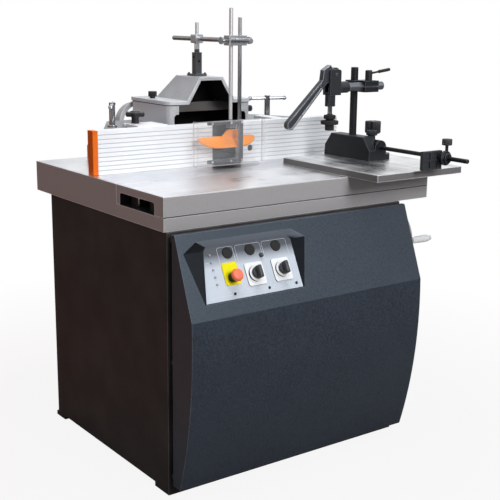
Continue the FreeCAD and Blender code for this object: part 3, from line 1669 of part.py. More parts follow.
def rod_knobs():
    """The small knob that holds the stop rod, and the tall lobed one that holds the fence down."""
    low = stop_rod_z + rod_boss_radius + rod_knob_stem_height
    small = upright(rod_knob_radius, stop_rod_x, rod_knob_y, low, low + rod_knob_height)
    stem = upright(rod_knob_stem_radius, stop_rod_x, rod_knob_y, stop_rod_z + stop_rod_radius, low)
    x, y, base = lobed_knob_place(flange_top)
    head_low = base + lobed_knob_stem_height
    tall = lobed_knob(x, y, head_low, lobed_knob_radius, lobed_knob_height, lobed_knob_lobes,
                      lobed_knob_lobe_radius)
    shank = upright(lobed_knob_stem_radius, x, y, table_height + hairline, head_low)
    foot = upright(2 * lobed_knob_stem_radius, x, y, base, base + lobed_knob_stem_radius)
    return [small.fuse(stem), tall.fuse([shank, foot])]


def stop_rod():
    return along_y(stop_rod_radius, stop_rod_x, stop_rod_z, stop_rod_rear - stop_rod_radius,
                   stop_rod_rear - stop_rod_length)


def clamp_column():
    half = column_size / 2
    post = block((column_x - half, column_x + half), (column_y - half, column_y + half),
                 (block_top, column_top))
    post = bevel_edges(post, edge_chamfer, "z")
    collar = upright(column_collar, column_x, column_y, block_top, block_top + column_collar_height)
    return post.fuse(collar)


def cross_clamp():
    levels = (clamp_z - cross_half_height, clamp_z + cross_half_height)
    half = column_size / 2 + cross_wall
    sleeve = block((column_x - half, column_x + half), (column_y - half, column_y + half), levels)
    jaw = block((jaw_x - cross_jaw_half, jaw_x + cross_jaw_half),
                (clamp_y - clamp_arm_radius - cross_wall, clamp_y + clamp_arm_radius + cross_wall), levels)
    link = block((column_x - half, jaw_x + cross_jaw_half), (clamp_y + clamp_arm_radius, column_y), levels)
    hole = column_size / 2 + loose
    square = block((column_x - hole, column_x + hole), (column_y - hole, column_y + hole),
                   (levels[0] - 1, levels[1] + 1))
    tunnel = along_x(clamp_arm_radius, clamp_y, clamp_z, column_x - 2 * half, jaw_x + 2 * cross_jaw_half)
    split = block((jaw_x - 2 * cross_jaw_half, jaw_x + 2 * cross_jaw_half),
                  (clamp_y - 2 * clamp_arm_radius, clamp_y),
                  (clamp_z - jaw_split / 2, clamp_z + jaw_split / 2))
    stud = upright(ratchet_stud_radius + running, ratchet_x, clamp_y, levels[1] - ratchet_stud_depth,
                   levels[1] + 1)
    return sleeve.fuse([jaw, link]).cut([square, tunnel, split, stud]).removeSplitter()


def clamp_arm():
    start = head_x + head_cheek_right - arm_seat
    tail = along_x(clamp_arm_radius, clamp_y, clamp_z, start, column_x + clamp_arm_tail)
    hub = along_x(arm_hub_radius, clamp_y, clamp_z, start, start + arm_hub_length)
    return tail.fuse(hub)


def clamp_head():
    """A plunger guide with two cheeks above it, between which the lever works."""
    depth = (clamp_y - head_half_width, clamp_y + head_half_width)
    body_top = clamp_z + head_body_high
    body = block((head_x - head_body_half, head_x + head_body_half),
                 (clamp_y - head_body_half_depth, clamp_y + head_body_half_depth),
                 (clamp_z - head_body_low, body_top))
    body = bevel_edges(body, head_cheek / 2, "z")
    right = head_x + head_cheek_right
    cheeks = []
    for low, high in ((depth[0], depth[0] + head_cheek), (depth[1] - head_cheek, depth[1])):
        cheek = block((head_x - head_cheek_left, right), (low, high),
                      (body_top - head_cheek, clamp_z + head_cheek_top))
        cheeks.append(round_edges(cheek, head_cheek, "y", lambda middle: middle.z > clamp_z))
    bridge = block((head_x + head_bridge_left, right), depth,
                   (body_top - head_cheek, clamp_z + head_bridge_high))
    pin = along_y(pivot_radius, pivot_x, pivot_z, depth[0] - 1, depth[1] + 1)
    bore = upright(plunger_radius + running, head_x, clamp_y, clamp_z - head_body_low - 1, body_top + 1)
    return body.fuse(cheeks + [bridge]).cut(bore).fuse(pin)


def clamp_plunger():
    return upright(plunger_radius, head_x, clamp_y, clamp_z - plunger_low, clamp_z + plunger_top)


def clamp_pad():
    """The pad under the plunger: a collar, a wide disc and a soft foot."""
    collar_low = clamp_z - plunger_low
    disc_low = collar_low - pad_disc_height
    foot_low = disc_low - pad_foot_height
    collar = upright(pad_collar_radius, head_x, clamp_y, collar_low, collar_low + pad_collar_height)
    collar = collar.cut(upright(plunger_radius, head_x, clamp_y, collar_low,
                                collar_low + pad_collar_height + 1))
    disc = upright(pad_disc_radius, head_x, clamp_y, disc_low, collar_low)
    disc = disc.makeFillet(pad_disc_height / 4, [edge for edge in disc.Edges if edge.Closed])
    foot = upright(pad_foot_radius, head_x, clamp_y, foot_low, disc_low)
    return disc.fuse([collar, foot])


def lever_blade(inset, skip, low, high):
    """The lever's handle, which widens to a round end, drawn in by an inset and begun past a skip."""
    root = V(pivot_x - lever_root_back, 0, pivot_z - lever_root_drop)
    tip = V(pivot_x - lever_reach, 0, pivot_z - lever_drop)
    run = (tip - root).normalize()
    side = V(-run.z, 0, run.x)
    start = root + run * skip
    corners = []
    for place, half in ((start, lever_root_half), (start, -lever_root_half), (tip, -lever_tip_half),
                        (tip, lever_tip_half)):
        corner = place + side * math.copysign(abs(half) - inset, half)
        corners.append((corner.x, corner.z))
    end = along_y(lever_tip_half - inset, tip.x, tip.z, low, high)
    return prism(corners, "y", low, high).fuse(end)


def clamp_lever():
    depth = (clamp_y - lever_half_width, clamp_y + lever_half_width)
    hub = along_y(lever_hub_radius, pivot_x, pivot_z, depth[0], depth[1])
    corners = [(pivot_x, pivot_z)]
    for across, rise in lever_head_corners:
        corners.append((pivot_x + across, pivot_z + rise))
    head = prism(corners, "y", *depth)
    bore = along_y(pivot_radius + running, pivot_x, pivot_z, depth[0] - 1, depth[1] + 1)
    recesses = [lever_blade(lever_rim, lever_recess_start, depth[0] - 1, depth[0] + lever_recess),
                lever_blade(lever_rim, lever_recess_start, depth[1] - lever_recess, depth[1] + 1)]
    return hub.fuse([head, lever_blade(0, 0, *depth)]).cut(recesses + [bore])


def ratchet_lever():
    low = clamp_z + cross_half_height + loose
    top = low + ratchet_hub_height
    hub = upright(ratchet_hub_radius, ratchet_x, clamp_y, low, top)
    hub = hub.makeFillet(ratchet_hub_radius / 3, [hub.Edges[0]])
    bar_z = top - ratchet_hub_radius
    reach = ratchet_x + ratchet_reach
    arm = bar(ratchet_bar_radius, (ratchet_x, clamp_y, bar_z), (reach, clamp_y, bar_z + ratchet_rise))
    middle = ratchet_x + ratchet_reach / 2
    grip = bar(ratchet_grip_radius, (middle, clamp_y, bar_z + ratchet_rise / 2),
               (reach, clamp_y, bar_z + ratchet_rise))
    tip = Part.makeSphere(ratchet_grip_radius, V(reach, clamp_y, bar_z + ratchet_rise))
    stud = upright(ratchet_stud_radius, ratchet_x, clamp_y, low - ratchet_stud_depth, low)
    return hub.fuse([arm, grip, tip, stud])


def stop_hub():
    end = stop_hub_y - stop_hub_length
    hub = along_y(stop_hub_radius, stop_rod_x, stop_rod_z, stop_hub_y, end)
    hub = hub.makeFillet(stop_hub_radius / 6, [edge for edge in hub.Edges if edge.Closed])
    middle = stop_hub_y - stop_hub_length / 2
    stem_low = stop_rod_z + stop_hub_radius - 1
    stem_top = stop_rod_z + stop_hub_radius + stop_knob_stem_height
    stem = upright(stop_knob_stem_radius, stop_rod_x, middle, stem_low, stem_top)
    knob = upright(stop_knob_radius, stop_rod_x, middle, stem_top, stem_top + stop_knob_height)
    knob = knob.makeFillet(knob_edge, [knob.Edges[0]])
    bore = along_y(stop_rod_radius + running, stop_rod_x, stop_rod_z, stop_hub_y + 1, end - 1)
    return hub.fuse([stem, knob]).cut(bore)


def stop_flag():
    """A plate across the rod, with four sunk panes on its front, that flips up round its ring."""
    start = stop_hub_y + loose
    end = start + flag_ring_length
    face = end - flag_thickness
    low = stop_rod_z - flag_low
    high = stop_rod_z + flag_high
    far = stop_rod_x - flag_reach
    ring = along_y(flag_ring_radius, stop_rod_x, stop_rod_z, start, end)
    plate = block((far, stop_rod_x), (face, end), (low, high))
    pane_width = (flag_reach - flag_ring_radius - 3 * flag_frame) / 2
    pane_height = (high - low - 3 * flag_frame) / 2
    panes = []
    for column in (0, 1):
        for row in (0, 1):
            x = far + flag_frame + column * (pane_width + flag_frame)
            z = low + flag_frame + row * (pane_height + flag_frame)
            panes.append(block((x, x + pane_width), (face - 1, face + flag_pane_depth), (z, z + pane_height)))
    bore = along_y(stop_rod_radius + running, stop_rod_x, stop_rod_z, start - 1, end + 1)
    return ring.fuse(plate.cut(panes)).cut(bore)


pieces = {
    "cabinet_shell": cabinet_shell().fuse(foot_rails()),
    "cable_gland": cable_gland(),
    "door_hinges": door_hinges(),
    "rear_door": rear_door().fuse(door_pull()),
    "front_cover": front_cover().fuse(cover_spacers()),
    "control_plate": control_plate(),
    "control_trim": blanking_plugs() + panel_screws(),
    "indicator_lamps": indicator_lamps(),
    "stop_plate": stop_plate(),
    "stop_button": stop_button(),
    "switch_plates": switch_plates(),
    "left_switch": switch_knob(switch_across[0]),
    "right_switch": switch_knob(switch_across[1]),
    "table_casting": table_casting(),
    "table_fasteners": table_bolts() + housing_bolts() + clamp_studs(),
    "table_rings": table_rings(),
    "slide_rails": slide_rails(),
    "sliding_table": sliding_table().fuse(slide_bearings()),
    "spindle_housing": spindle_housing(),
    "quill": quill(),
    "spindle": spindle(),
    "motor_rotor": motor_rotor(),
    "drive_belt": drive_belt(),
    "motor_bracket": motor_bracket().fuse(lift_nut()),
    "motor": motor(),
    "lift_screw": lift_screw(),
    "cross_shaft": cross_shaft(),
    "shaft_supports": shaft_hangers() + [wheel_bush()],
    "lift_chain": lift_chain(),
    "handwheel": handwheel().fuse(wheel_shaft()),
    "wheel_grip": wheel_grip(),
    "left_fence_plate": left_fence_plate(),
    "right_fence_plate": right_fence_plate(),
    "left_end_cap": left_end_cap(),
    "fence_arms": [left_fence_arm(), right_fence_arm()],
    "hood_body": hood_body(),
    "dust_port": dust_port(),
    "hood_lid": hood_lid(),
    "lid_knobs": lid_knobs(),
    "left_clamp_handle": clamp_handle(left_stud_x, left_handle_turn),
    "right_clamp_handle": clamp_handle(right_stud_x, right_handle_turn),
    "star_knob": star_knob(),
    "guard_post": guard_post(),
    "guard_arm": guard_arm().fuse(rod_clamp()),
    "visor_bracket": visor_bracket().fuse(visor_rod()),
    "clear_visor": clear_visor(),
    "pressure_shoe": pressure_shoe(),
    "shoe_rod": shoe_rod(),
    "tenon_plate": tenon_plate(),
    "tenon_fence": tenon_fence(),
    "rod_knobs": rod_knobs(),
    "tenon_bars": [stop_rod(), clamp_column()],
    "cross_clamp": cross_clamp(),
    "clamp_head": clamp_head().fuse(clamp_arm()),
    "clamp_plunger": clamp_plunger(),
    "clamp_pad": clamp_pad(),
    "clamp_lever": clamp_lever(),
    "ratchet_lever": ratchet_lever(),
    "stop_hub": stop_hub(),
    "stop_flag": stop_flag(),
}

os.makedirs("parts", exist_ok=True)
for name, made in pieces.items():
    shape = made if isinstance(made, Part.Shape) else Part.makeCompound(list(made))
    shape.exportStep("parts/" + name + ".step")
    print(name, len(shape.Solids), "solids", round(shape.Volume / 1000.0, 1), "cm3",
          "valid" if shape.isValid() else "INVALID")
print(len(pieces), "nodes")
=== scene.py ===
# %% [markdown]
# # A spindle moulder, dressed for the camera
# The machine comes packed from the drawing office as named parts on named bodies. Blender adds
# what a drawing leaves out: paint, ground iron, chrome, moulded knobs, small screws and print.
# Everything is in metres with Z up, so a piece is put where the drawing says and nothing is
# fitted by eye.

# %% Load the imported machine
import bmesh
import bpy
import json
import math
from mathutils import Matrix, Vector


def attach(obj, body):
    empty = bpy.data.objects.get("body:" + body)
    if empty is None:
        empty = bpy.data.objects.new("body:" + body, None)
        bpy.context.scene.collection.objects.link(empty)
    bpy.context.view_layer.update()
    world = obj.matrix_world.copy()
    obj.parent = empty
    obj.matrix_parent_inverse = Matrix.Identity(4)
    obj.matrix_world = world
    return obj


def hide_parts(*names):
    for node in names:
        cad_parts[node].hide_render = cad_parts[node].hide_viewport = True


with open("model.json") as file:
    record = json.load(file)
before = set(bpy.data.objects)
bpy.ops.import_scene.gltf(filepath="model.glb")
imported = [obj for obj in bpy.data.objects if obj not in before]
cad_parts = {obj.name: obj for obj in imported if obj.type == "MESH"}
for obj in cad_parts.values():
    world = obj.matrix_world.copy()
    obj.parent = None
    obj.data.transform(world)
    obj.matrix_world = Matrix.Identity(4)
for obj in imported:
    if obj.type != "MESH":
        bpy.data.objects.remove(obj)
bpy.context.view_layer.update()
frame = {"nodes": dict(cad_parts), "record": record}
nodes = frame["nodes"]

# %% [markdown]
# ## Camera
# The photograph looks down a little on the machine from its front left corner. The place and the
# turns below were solved from the corners of the table and the cabinet, so a straight edge here
# falls on the same straight edge there. The view is square, which makes the sensor width hold for
# both directions.

# %% Put the camera where the photographer stood
CAMERA_PLACE = Vector((-1.867, -2.716, 1.394))
CAMERA_YAW = 0.631
CAMERA_PITCH = 0.231
CAMERA_ROLL = 0.011
SENSOR_WIDTH = 36.0
LENS_LENGTH = 71.77

ahead = Vector((
    math.sin(CAMERA_YAW) * math.cos(CAMERA_PITCH),
    math.cos(CAMERA_YAW) * math.cos(CAMERA_PITCH),
    -math.sin(CAMERA_PITCH),
))
level = Vector((math.cos(CAMERA_YAW), -math.sin(CAMERA_YAW), 0.0))
above = level.cross(ahead)
right = level * math.cos(CAMERA_ROLL) + above * math.sin(CAMERA_ROLL)
top = above * math.cos(CAMERA_ROLL) - level * math.sin(CAMERA_ROLL)

camera = bpy.data.objects.new("camera", bpy.data.cameras.new("camera"))
camera.data.sensor_width = SENSOR_WIDTH
camera.data.lens = LENS_LENGTH
turned = Matrix((right, top, -ahead)).transposed().to_4x4()
camera.matrix_world = Matrix.Translation(CAMERA_PLACE) @ turned
bpy.context.scene.collection.objects.link(camera)
bpy.context.scene.camera = camera
bpy.context.scene.view_settings.view_transform = "Standard"
print("camera at", tuple(round(v, 2) for v in CAMERA_PLACE))

# %% [markdown]
# ## Node helpers
# Every finish below is a small graph of shader nodes. A helper that adds a node and joins its
# inputs keeps those graphs short enough to read.

# %% Helpers that add shader nodes
def join(tree, socket, value):
    """Feed a socket with another socket, or set it to a plain value."""
    if isinstance(value, bpy.types.NodeSocket):
        tree.links.new(value, socket)
    else:
        socket.default_value = value


def add_node(tree, kind, settings=None, **inputs):
    """Add a node; an input is named with _ for a space."""
    node = tree.nodes.new("ShaderNode" + kind)
    for name, value in (settings or {}).items():
        setattr(node, name, value)
    for name, value in inputs.items():
        join(tree, node.inputs[name.replace("_", " ")], value)
    return node


def math_node(tree, operation, first, second=0.0):
    """One step of arithmetic."""
    node = add_node(tree, "Math", {"operation": operation})
    join(tree, node.inputs[0], first)
    join(tree, node.inputs[1], second)
    return node.outputs[0]


def dot(tree, first, second):
    """How far two vectors point the same way."""
    node = add_node(tree, "VectorMath", {"operation": "DOT_PRODUCT"})
    join(tree, node.inputs[0], first)
    join(tree, node.inputs[1], second)
    return node.outputs["Value"]


def mix_colour(tree, factor, first, second):
    """Blend two colours, each a value or a socket."""
    node = add_node(tree, "Mix", {"data_type": "RGBA"})
    for place, value in ((0, factor), (6, first), (7, second)):
        join(tree, node.inputs[place], value)
    return node.outputs[2]


def ramp(tree, value, start, end, low=0.0, high=1.0):
    """A number that goes from low to high as the value goes from start to end."""
    return add_node(
        tree, "MapRange", Value=value, From_Min=start, From_Max=end, To_Min=low, To_Max=high,
    ).outputs[0]


print("node helpers ready")

# %% [markdown]
# ## Studio
# The photograph has a white ground all round. A wide lamp hangs over the machine and a softer one
# stands in front, so the tops are bright, the brow of the cover shades the control plate, and the
# left side is in warm shade. The white itself is a colour that only camera, mirror and glass rays
# see, so it lights nothing. A mirror also sees a grey wall at the back left, which lets the
# ground table stand out from the white. Other rays find a dull floor, brown at the back left, and
# that is what tints the left side and darkens the cover's foot.

# %% A white world that lights softly
WHITE = (1.0, 1.0, 1.0, 1.0)
SOFT_GREY = (0.93, 0.96, 1.0, 1.0)
WORLD_LEVEL = 0.18
BACK_LEFT = (-0.5, 0.866, 0.0)
WALL_EDGE = (0.48, 0.64)
WALL_GREY = 0.55


def seen_ray(tree):
    """1 for a ray that shows the ground to the eye, directly, in a mirror or through glass."""
    rays = add_node(tree, "LightPath").outputs
    eye_or_mirror = math_node(tree, "MAXIMUM", rays["Is Camera Ray"], rays["Is Glossy Ray"])
    return math_node(tree, "MAXIMUM", eye_or_mirror, rays["Is Transmission Ray"])


world = bpy.data.worlds.new("studio")
bpy.context.scene.world = world
world.use_nodes = True
tree = world.node_tree
tree.nodes.clear()
seen = seen_ray(tree)
heading = dot(tree, add_node(tree, "TexCoord").outputs["Generated"], BACK_LEFT)
wall = ramp(tree, heading, *WALL_EDGE, 1.0, WALL_GREY)
mirrored = ramp(tree, add_node(tree, "LightPath").outputs["Is Glossy Ray"], 0.0, 1.0, 1.0, wall)
sky = add_node(
    tree, "Background",
    Color=mix_colour(tree, seen, SOFT_GREY, WHITE),
    Strength=ramp(tree, seen, 0.0, 1.0, WORLD_LEVEL, mirrored),
)
tree.links.new(sky.outputs[0], add_node(tree, "OutputWorld").inputs[0])
print("world level", WORLD_LEVEL)

# %% Soft boxes
# Each has a place, an aim, a size, a power in watts and a tint.
LAMPS = {
    "top_box": ((0.1, -0.45, 4.0), (0.05, -0.25, 0.9), 1.8, 70.0, (0.93, 0.965, 1.0)),
    "front_box": ((0.2, -4.3, 2.9), (0.0, -0.3, 0.7), 2.0, 140.0, (1.0, 1.0, 1.0)),
    "left_fill": ((-4.0, 0.2, 1.6), (-0.4, 0.0, 0.6), 1.8, 12.0, (1.0, 0.70, 0.62)),
    "back_fill": ((1.9, 3.0, 4.2), (0.0, 0.2, 0.7), 2.4, 26.0, (1.0, 1.0, 1.0)),
}
for lamp_name, (place, aim, size, watts, tint) in LAMPS.items():
    lamp = bpy.data.lights.new(lamp_name, "AREA")
    lamp.shape = "DISK"
    lamp.size = size
    lamp.energy = watts
    lamp.color = tint
    stand = bpy.data.objects.new(lamp_name, lamp)
    stand.visible_glossy = lamp_name != "top_box"
    stand.location = place
    stand.rotation_euler = (Vector(aim) - Vector(place)).to_track_quat("-Z", "Y").to_euler()
    bpy.context.scene.collection.objects.link(stand)
print("lamps", len(LAMPS))

# %% A pale floor that keeps a faint shadow
FLOOR_SIZE = 40.0
SHADOW_SHARE = 0.10
SHADOW_REACH = (0.9, 2.2)
DULL_FLOOR = (0.34, 0.32, 0.31, 1.0)
BROWN_FLOOR = (0.46, 0.23, 0.17, 1.0)
FRONT_RIGHT = (0.8, -0.6, 0)
BROWN_FROM = (-0.4, -0.9)
floor_mesh = bmesh.new()
bmesh.ops.create_grid(floor_mesh, x_segments=1, y_segments=1, size=FLOOR_SIZE)
floor_data = bpy.data.meshes.new("studio_floor")
floor_mesh.to_mesh(floor_data)
floor_mesh.free()
floor = bpy.data.objects.new("studio_floor", floor_data)
bpy.context.scene.collection.objects.link(floor)
paper = bpy.data.materials.new("studio_paper")
paper.use_nodes = True
tree = paper.node_tree
tree.nodes.clear()
ground_place = add_node(tree, "TexCoord").outputs["Object"]
to_back_left = ramp(tree, dot(tree, ground_place, FRONT_RIGHT), *BROWN_FROM)
ground = mix_colour(tree, to_back_left, DULL_FLOOR, BROWN_FLOOR)
shade = add_node(tree, "BsdfDiffuse", Color=ground)
glow = add_node(tree, "Emission", Color=WHITE, Strength=1.0)
away = add_node(tree, "VectorMath", {"operation": "LENGTH"})
join(tree, away.inputs[0], ground_place)
white_share = ramp(tree, away.outputs["Value"], *SHADOW_REACH, 1.0 - SHADOW_SHARE, 1.0)
rays = add_node(tree, "LightPath").outputs
eye = math_node(tree, "MAXIMUM", rays["Is Camera Ray"], rays["Is Transmission Ray"])
blend = add_node(tree, "MixShader")
join(tree, blend.inputs[0], math_node(tree, "MULTIPLY", eye, white_share))
tree.links.new(shade.outputs[0], blend.inputs[1])
tree.links.new(glow.outputs[0], blend.inputs[2])
tree.links.new(blend.outputs[0], add_node(tree, "OutputMaterial").inputs[0])
floor_data.materials.append(paper)
print("floor", FLOOR_SIZE, "m")

# %% [markdown]
# ## One recipe for most finishes
# Paint, cast plastic and worked metal differ in the same few ways: how the colour drifts, how
# fine the grain is, how deep it stands, and what an edge looks like. Noise on Object
# coordinates gives the drift and the grain at real size. The Bevel node rounds a sharp edge for
# the light only, and the same node finds the edge, which a finish may paint lighter as worn paint
# and a painted highlight at once. A patch is a second colour where a mask says so, for a part that
# is painted in two tones, or for painted shade and painted highlights.

# %% Parts of a finish
DRIFT_SIZE = 0.12
BEVEL_SAMPLES = 6
EDGE_FOUND = (0.997, 0.9)


def start_finish(name):
    """A new material with an empty graph and its place on the object."""
    material = bpy.data.materials.new(name)
    material.use_nodes = True
    tree = material.node_tree
    tree.nodes.clear()
    return material, tree, add_node(tree, "TexCoord").outputs["Object"]


def noise(tree, place, size, stretch=(1.0, 1.0, 1.0), detail=3.0):
    """Noise with grains of a given size in metres, drawn out along an axis by stretch."""
    spread = add_node(tree, "Mapping", Vector=place, Scale=tuple(1.0 / s for s in stretch))
    grains = add_node(tree, "TexNoise", Vector=spread.outputs[0], Scale=1.0 / size, Detail=detail)
    return grains.outputs["Fac"]


def edge_wear_and_highlight(tree, round_over):
    """The rounded normal, and a mask that is 1 on a sharp edge."""
    soft = add_node(tree, "Bevel", {"samples": BEVEL_SAMPLES}, Radius=round_over).outputs[0]
    flat = add_node(tree, "NewGeometry").outputs["Normal"]
    return soft, ramp(tree, dot(tree, soft, flat), *EDGE_FOUND)


def close_finish(material, tree, colour, rough, normal, metallic, shine, gloss_tint=WHITE):
    """Join what was made to one Principled shader; a plain value goes on its own socket."""
    shader = add_node(
        tree, "BsdfPrincipled",
        Base_Color=colour, Roughness=rough, Normal=normal, Metallic=metallic,
        Specular_IOR_Level=shine, Specular_Tint=gloss_tint,
    )
    tree.links.new(shader.outputs[0], add_node(tree, "OutputMaterial").inputs[0])
    return material


print("parts of a finish ready")

# %% Masks for patches
INWARD_FOUND = (0.01, 0.02)


def beyond(direction, start, end):
    """A mask that rises from 0 to 1 as the place goes along a direction from start to end."""
    return lambda tree, place: ramp(tree, dot(tree, place, direction), start, end)


def faces(direction, least, most):
    """A mask that goes from 0 to 1 as the surface turns to face along a direction."""
    def mask(tree, place):
        flat = add_node(tree, "NewGeometry").outputs["True Normal"]
        return ramp(tree, dot(tree, flat, direction), least, most)
    return mask


def both(first, second):
    """A mask that is 1 where two others are."""
    return lambda tree, place: math_node(tree, "MULTIPLY", first(tree, place), second(tree, place))


def facing_middle(middle):
    """A mask that is 1 on the inner walls round a point."""
    def mask(tree, place):
        inward = add_node(tree, "VectorMath", {"operation": "SUBTRACT"})
        join(tree, inward.inputs[0], middle)
        join(tree, inward.inputs[1], place)
        flat = add_node(tree, "NewGeometry").outputs["True Normal"]
        return ramp(tree, dot(tree, flat, inward.outputs[0]), *INWARD_FOUND)
    return mask


def inside(low, high):
    """A mask that is 1 in a box between two corners."""
    centre = tuple((a + b) / 2 for a, b in zip(low, high))
    half = tuple((b - a) / 2 for a, b in zip(low, high))

    def mask(tree, place):
        steps = place
        for operation, by in (("SUBTRACT", centre), ("ABSOLUTE", None), ("DIVIDE", half)):
            step = add_node(tree, "VectorMath", {"operation": operation})
            join(tree, step.inputs[0], steps)
            if by:
                step.inputs[1].default_value = by
            steps = step.outputs[0]
        parts = add_node(tree, "SeparateXYZ", Vector=steps).outputs
        most = math_node(tree, "MAXIMUM", parts[0], math_node(tree, "MAXIMUM", parts[1], parts[2]))
        return math_node(tree, "LESS_THAN", most, 1.0)
    return mask


print("masks ready")

# %% The finish recipe
TONE_RANGE = (0.25, 0.75)
LEAST_WEAR_AND_HIGHLIGHT = 0.4


def make_finish(
    name, dark, light, rough, grain=0.002, depth=0.00004, metallic=0.0, stretch=(1.0, 1.0, 1.0),
    edge=None, round_over=0.0012, shine=0.5, gloss_tint=WHITE, patches=(), cloud=1.0,
):
    """A finish from two near colours, two roughnesses and the size of its grain.

    A patch is a mask, a tint, how metallic it is and how much it shines.
    """
    material, tree, place = start_finish(name)
    fine = noise(tree, place, grain, stretch)
    slow = noise(tree, place, DRIFT_SIZE)
    summed = math_node(tree, "ADD", fine, math_node(tree, "MULTIPLY", slow, cloud))
    tone = ramp(tree, summed, *(end + cloud / 2 for end in TONE_RANGE))
    colour = mix_colour(tree, tone, (*dark, 1.0), (*light, 1.0))
    soft, mask = edge_wear_and_highlight(tree, round_over)
    # The edge colour stands for worn paint and a painted highlight at once.
    if edge:
        patchy = math_node(tree, "MULTIPLY", mask, ramp(tree, tone, 0.0, 0.5, LEAST_WEAR_AND_HIGHLIGHT, 1.0))
        colour = mix_colour(tree, patchy, colour, (*edge, 1.0))
    for make_mask, tint, tint_metallic, tint_shine in patches:
        here = make_mask(tree, place)
        colour = mix_colour(tree, here, colour, (*tint, 1.0))
        metallic = ramp(tree, here, 0.0, 1.0, metallic, tint_metallic)
        shine = ramp(tree, here, 0.0, 1.0, shine, tint_shine)
    bump = add_node(tree, "Bump", Height=fine, Distance=depth, Strength=1.0, Normal=soft)
    roughness = ramp(tree, tone, 0.0, 1.0, *rough)
    return close_finish(
        material, tree, colour, roughness, bump.outputs[0], metallic, shine, gloss_tint,
    )


finishes = {}
print("recipe ready")

# %% [markdown]
# ## Painted sheet and castings
# The cabinet is near-black powder coat, and the bulged cover is a dark slate grey with a fine
# sparkling texture; the side walls of its recess carry painted shade and the brow a painted
# highlight. The hood castings have a mid-grey hammered paint whose dimples are two or three
# millimetres across, lighter along the rim as worn paint and a painted highlight. Inside, the hood
# carries painted shade, near black, with a lighter painted shade on the cross wall and a dark line
# of painted shade in the gap under the lid. The hood's left wall has a paler tint as a painted
# highlight and its slope a darker one as painted shade. Dark paint is kept dull, because a white
# studio would otherwise lift it to grey.

# %% Cabinet and cover paint
finishes["cabinet_paint"] = make_finish(
    "cabinet_powder_coat", (0.030, 0.027, 0.027), (0.058, 0.051, 0.050), (0.5, 0.66),
    grain=0.0016, depth=0.00003, edge=(0.20, 0.20, 0.21), round_over=0.003, shine=0.08,
)
# The recess walls facing sideways take painted shade, near black, and its downward-facing brow a
# lighter painted highlight.
recess = inside((-0.43, -0.52, 0.57), (0.02, -0.385, 0.785))
RECESS_SHADE_BLACK = (0.006, 0.007, 0.009)
finishes["cover_paint"] = make_finish(
    "cover_slate_texture", (0.006, 0.009, 0.014), (0.030, 0.038, 0.055), (0.38, 0.54),
    grain=0.0048, depth=0.0005, edge=(0.16, 0.18, 0.21), round_over=0.003, shine=0.55, cloud=0.15,
    gloss_tint=(0.72, 0.87, 1.0, 1.0),
    patches=[
        (both(recess, faces((1, 0, 0), 0.1, 0.25)), RECESS_SHADE_BLACK, 0.0, 0.2),
        (both(recess, faces((-1, 0, 0), 0.1, 0.25)), RECESS_SHADE_BLACK, 0.0, 0.08),
        (both(recess, faces((0, 0, -1), 0.2, 0.4)), (0.21, 0.24, 0.29), 0.0, 0.5),
    ],
)
print("sheet paints", len(finishes))

# %% Casting paint
HOOD_MIDDLE = (0.065, 0.20, 1.05)
PAINTED_SHADE_BLACK = (0.012, 0.012, 0.013)
HAMMERED = dict(
    dark=(0.40, 0.41, 0.43), light=(0.64, 0.65, 0.67), rough=(0.34, 0.5),
    grain=0.0035, depth=0.00018, edge=(0.86, 0.87, 0.88), round_over=0.003, shine=0.5, metallic=0.1,
)
finishes["hood_paint"] = make_finish("hood_hammered_grey", **HAMMERED)
cross_wall = inside((-0.095, 0.270, 1.055), (0.225, 0.283, 1.099))
lid_gap = inside((-0.2, 0.1, 1.0942), (0.3, 0.5, 1.0971))
# Painted light on the hood: a paler left wall as a painted highlight, a darker left slope as
# painted shade, then painted shade on the inner walls, the cross wall and the gap under the lid.
hood_shell_finish = make_finish(
    "hood_shaded_inside", **HAMMERED,
    patches=[
        (faces((-1, 0, 0), 0.85, 1.05), (0.92, 0.95, 1.0), 0.1, 0.5),
        (faces((-0.7, 0, 0.7), 0.9, 1.15), (0.30, 0.305, 0.32), 0.1, 0.5),
        (facing_middle(HOOD_MIDDLE), PAINTED_SHADE_BLACK, 0.0, 0.03),
        (cross_wall, (0.15, 0.14, 0.135), 0.0, 0.2),
        (lid_gap, PAINTED_SHADE_BLACK, 0.0, 0.03),
    ],
)
arm_finish = make_finish(
    "arm_hammered_grey", **{**HAMMERED, "dark": (0.15, 0.155, 0.165), "light": (0.24, 0.245, 0.26)},
)
finishes["post_paint"] = make_finish(
    "post_satin_black", (0.004, 0.005, 0.007), (0.010, 0.012, 0.015), (0.34, 0.48),
    grain=0.0012, depth=0.00002, edge=(0.20, 0.22, 0.25), round_over=0.0018, shine=0.25,
)
finishes["motor_paint"] = make_finish(
    "motor_grey_blue", (0.17, 0.195, 0.23), (0.23, 0.26, 0.30), (0.34, 0.46),
    grain=0.003, depth=0.00008, edge=(0.3, 0.32, 0.35),
)
finishes["inner_iron"] = make_finish(
    "inner_raw_casting", (0.10, 0.10, 0.10), (0.18, 0.175, 0.17), (0.6, 0.78),
    grain=0.003, depth=0.00022, edge=(0.3, 0.3, 0.3), metallic=0.25,
)
print("paints", sorted(finishes))

# %% [markdown]
# ## Bright metal
# Steel bars are chromed and mirror-like, bolts are dull zinc, and the fence is a silvery anodised
# extrusion. Grinding and turning leave lines along the work, which is noise drawn far out along
# one axis. The fence's grooves are tinted a darker grey, so they show as fine grey lines, and its
# screw holes carry painted shade, near black.

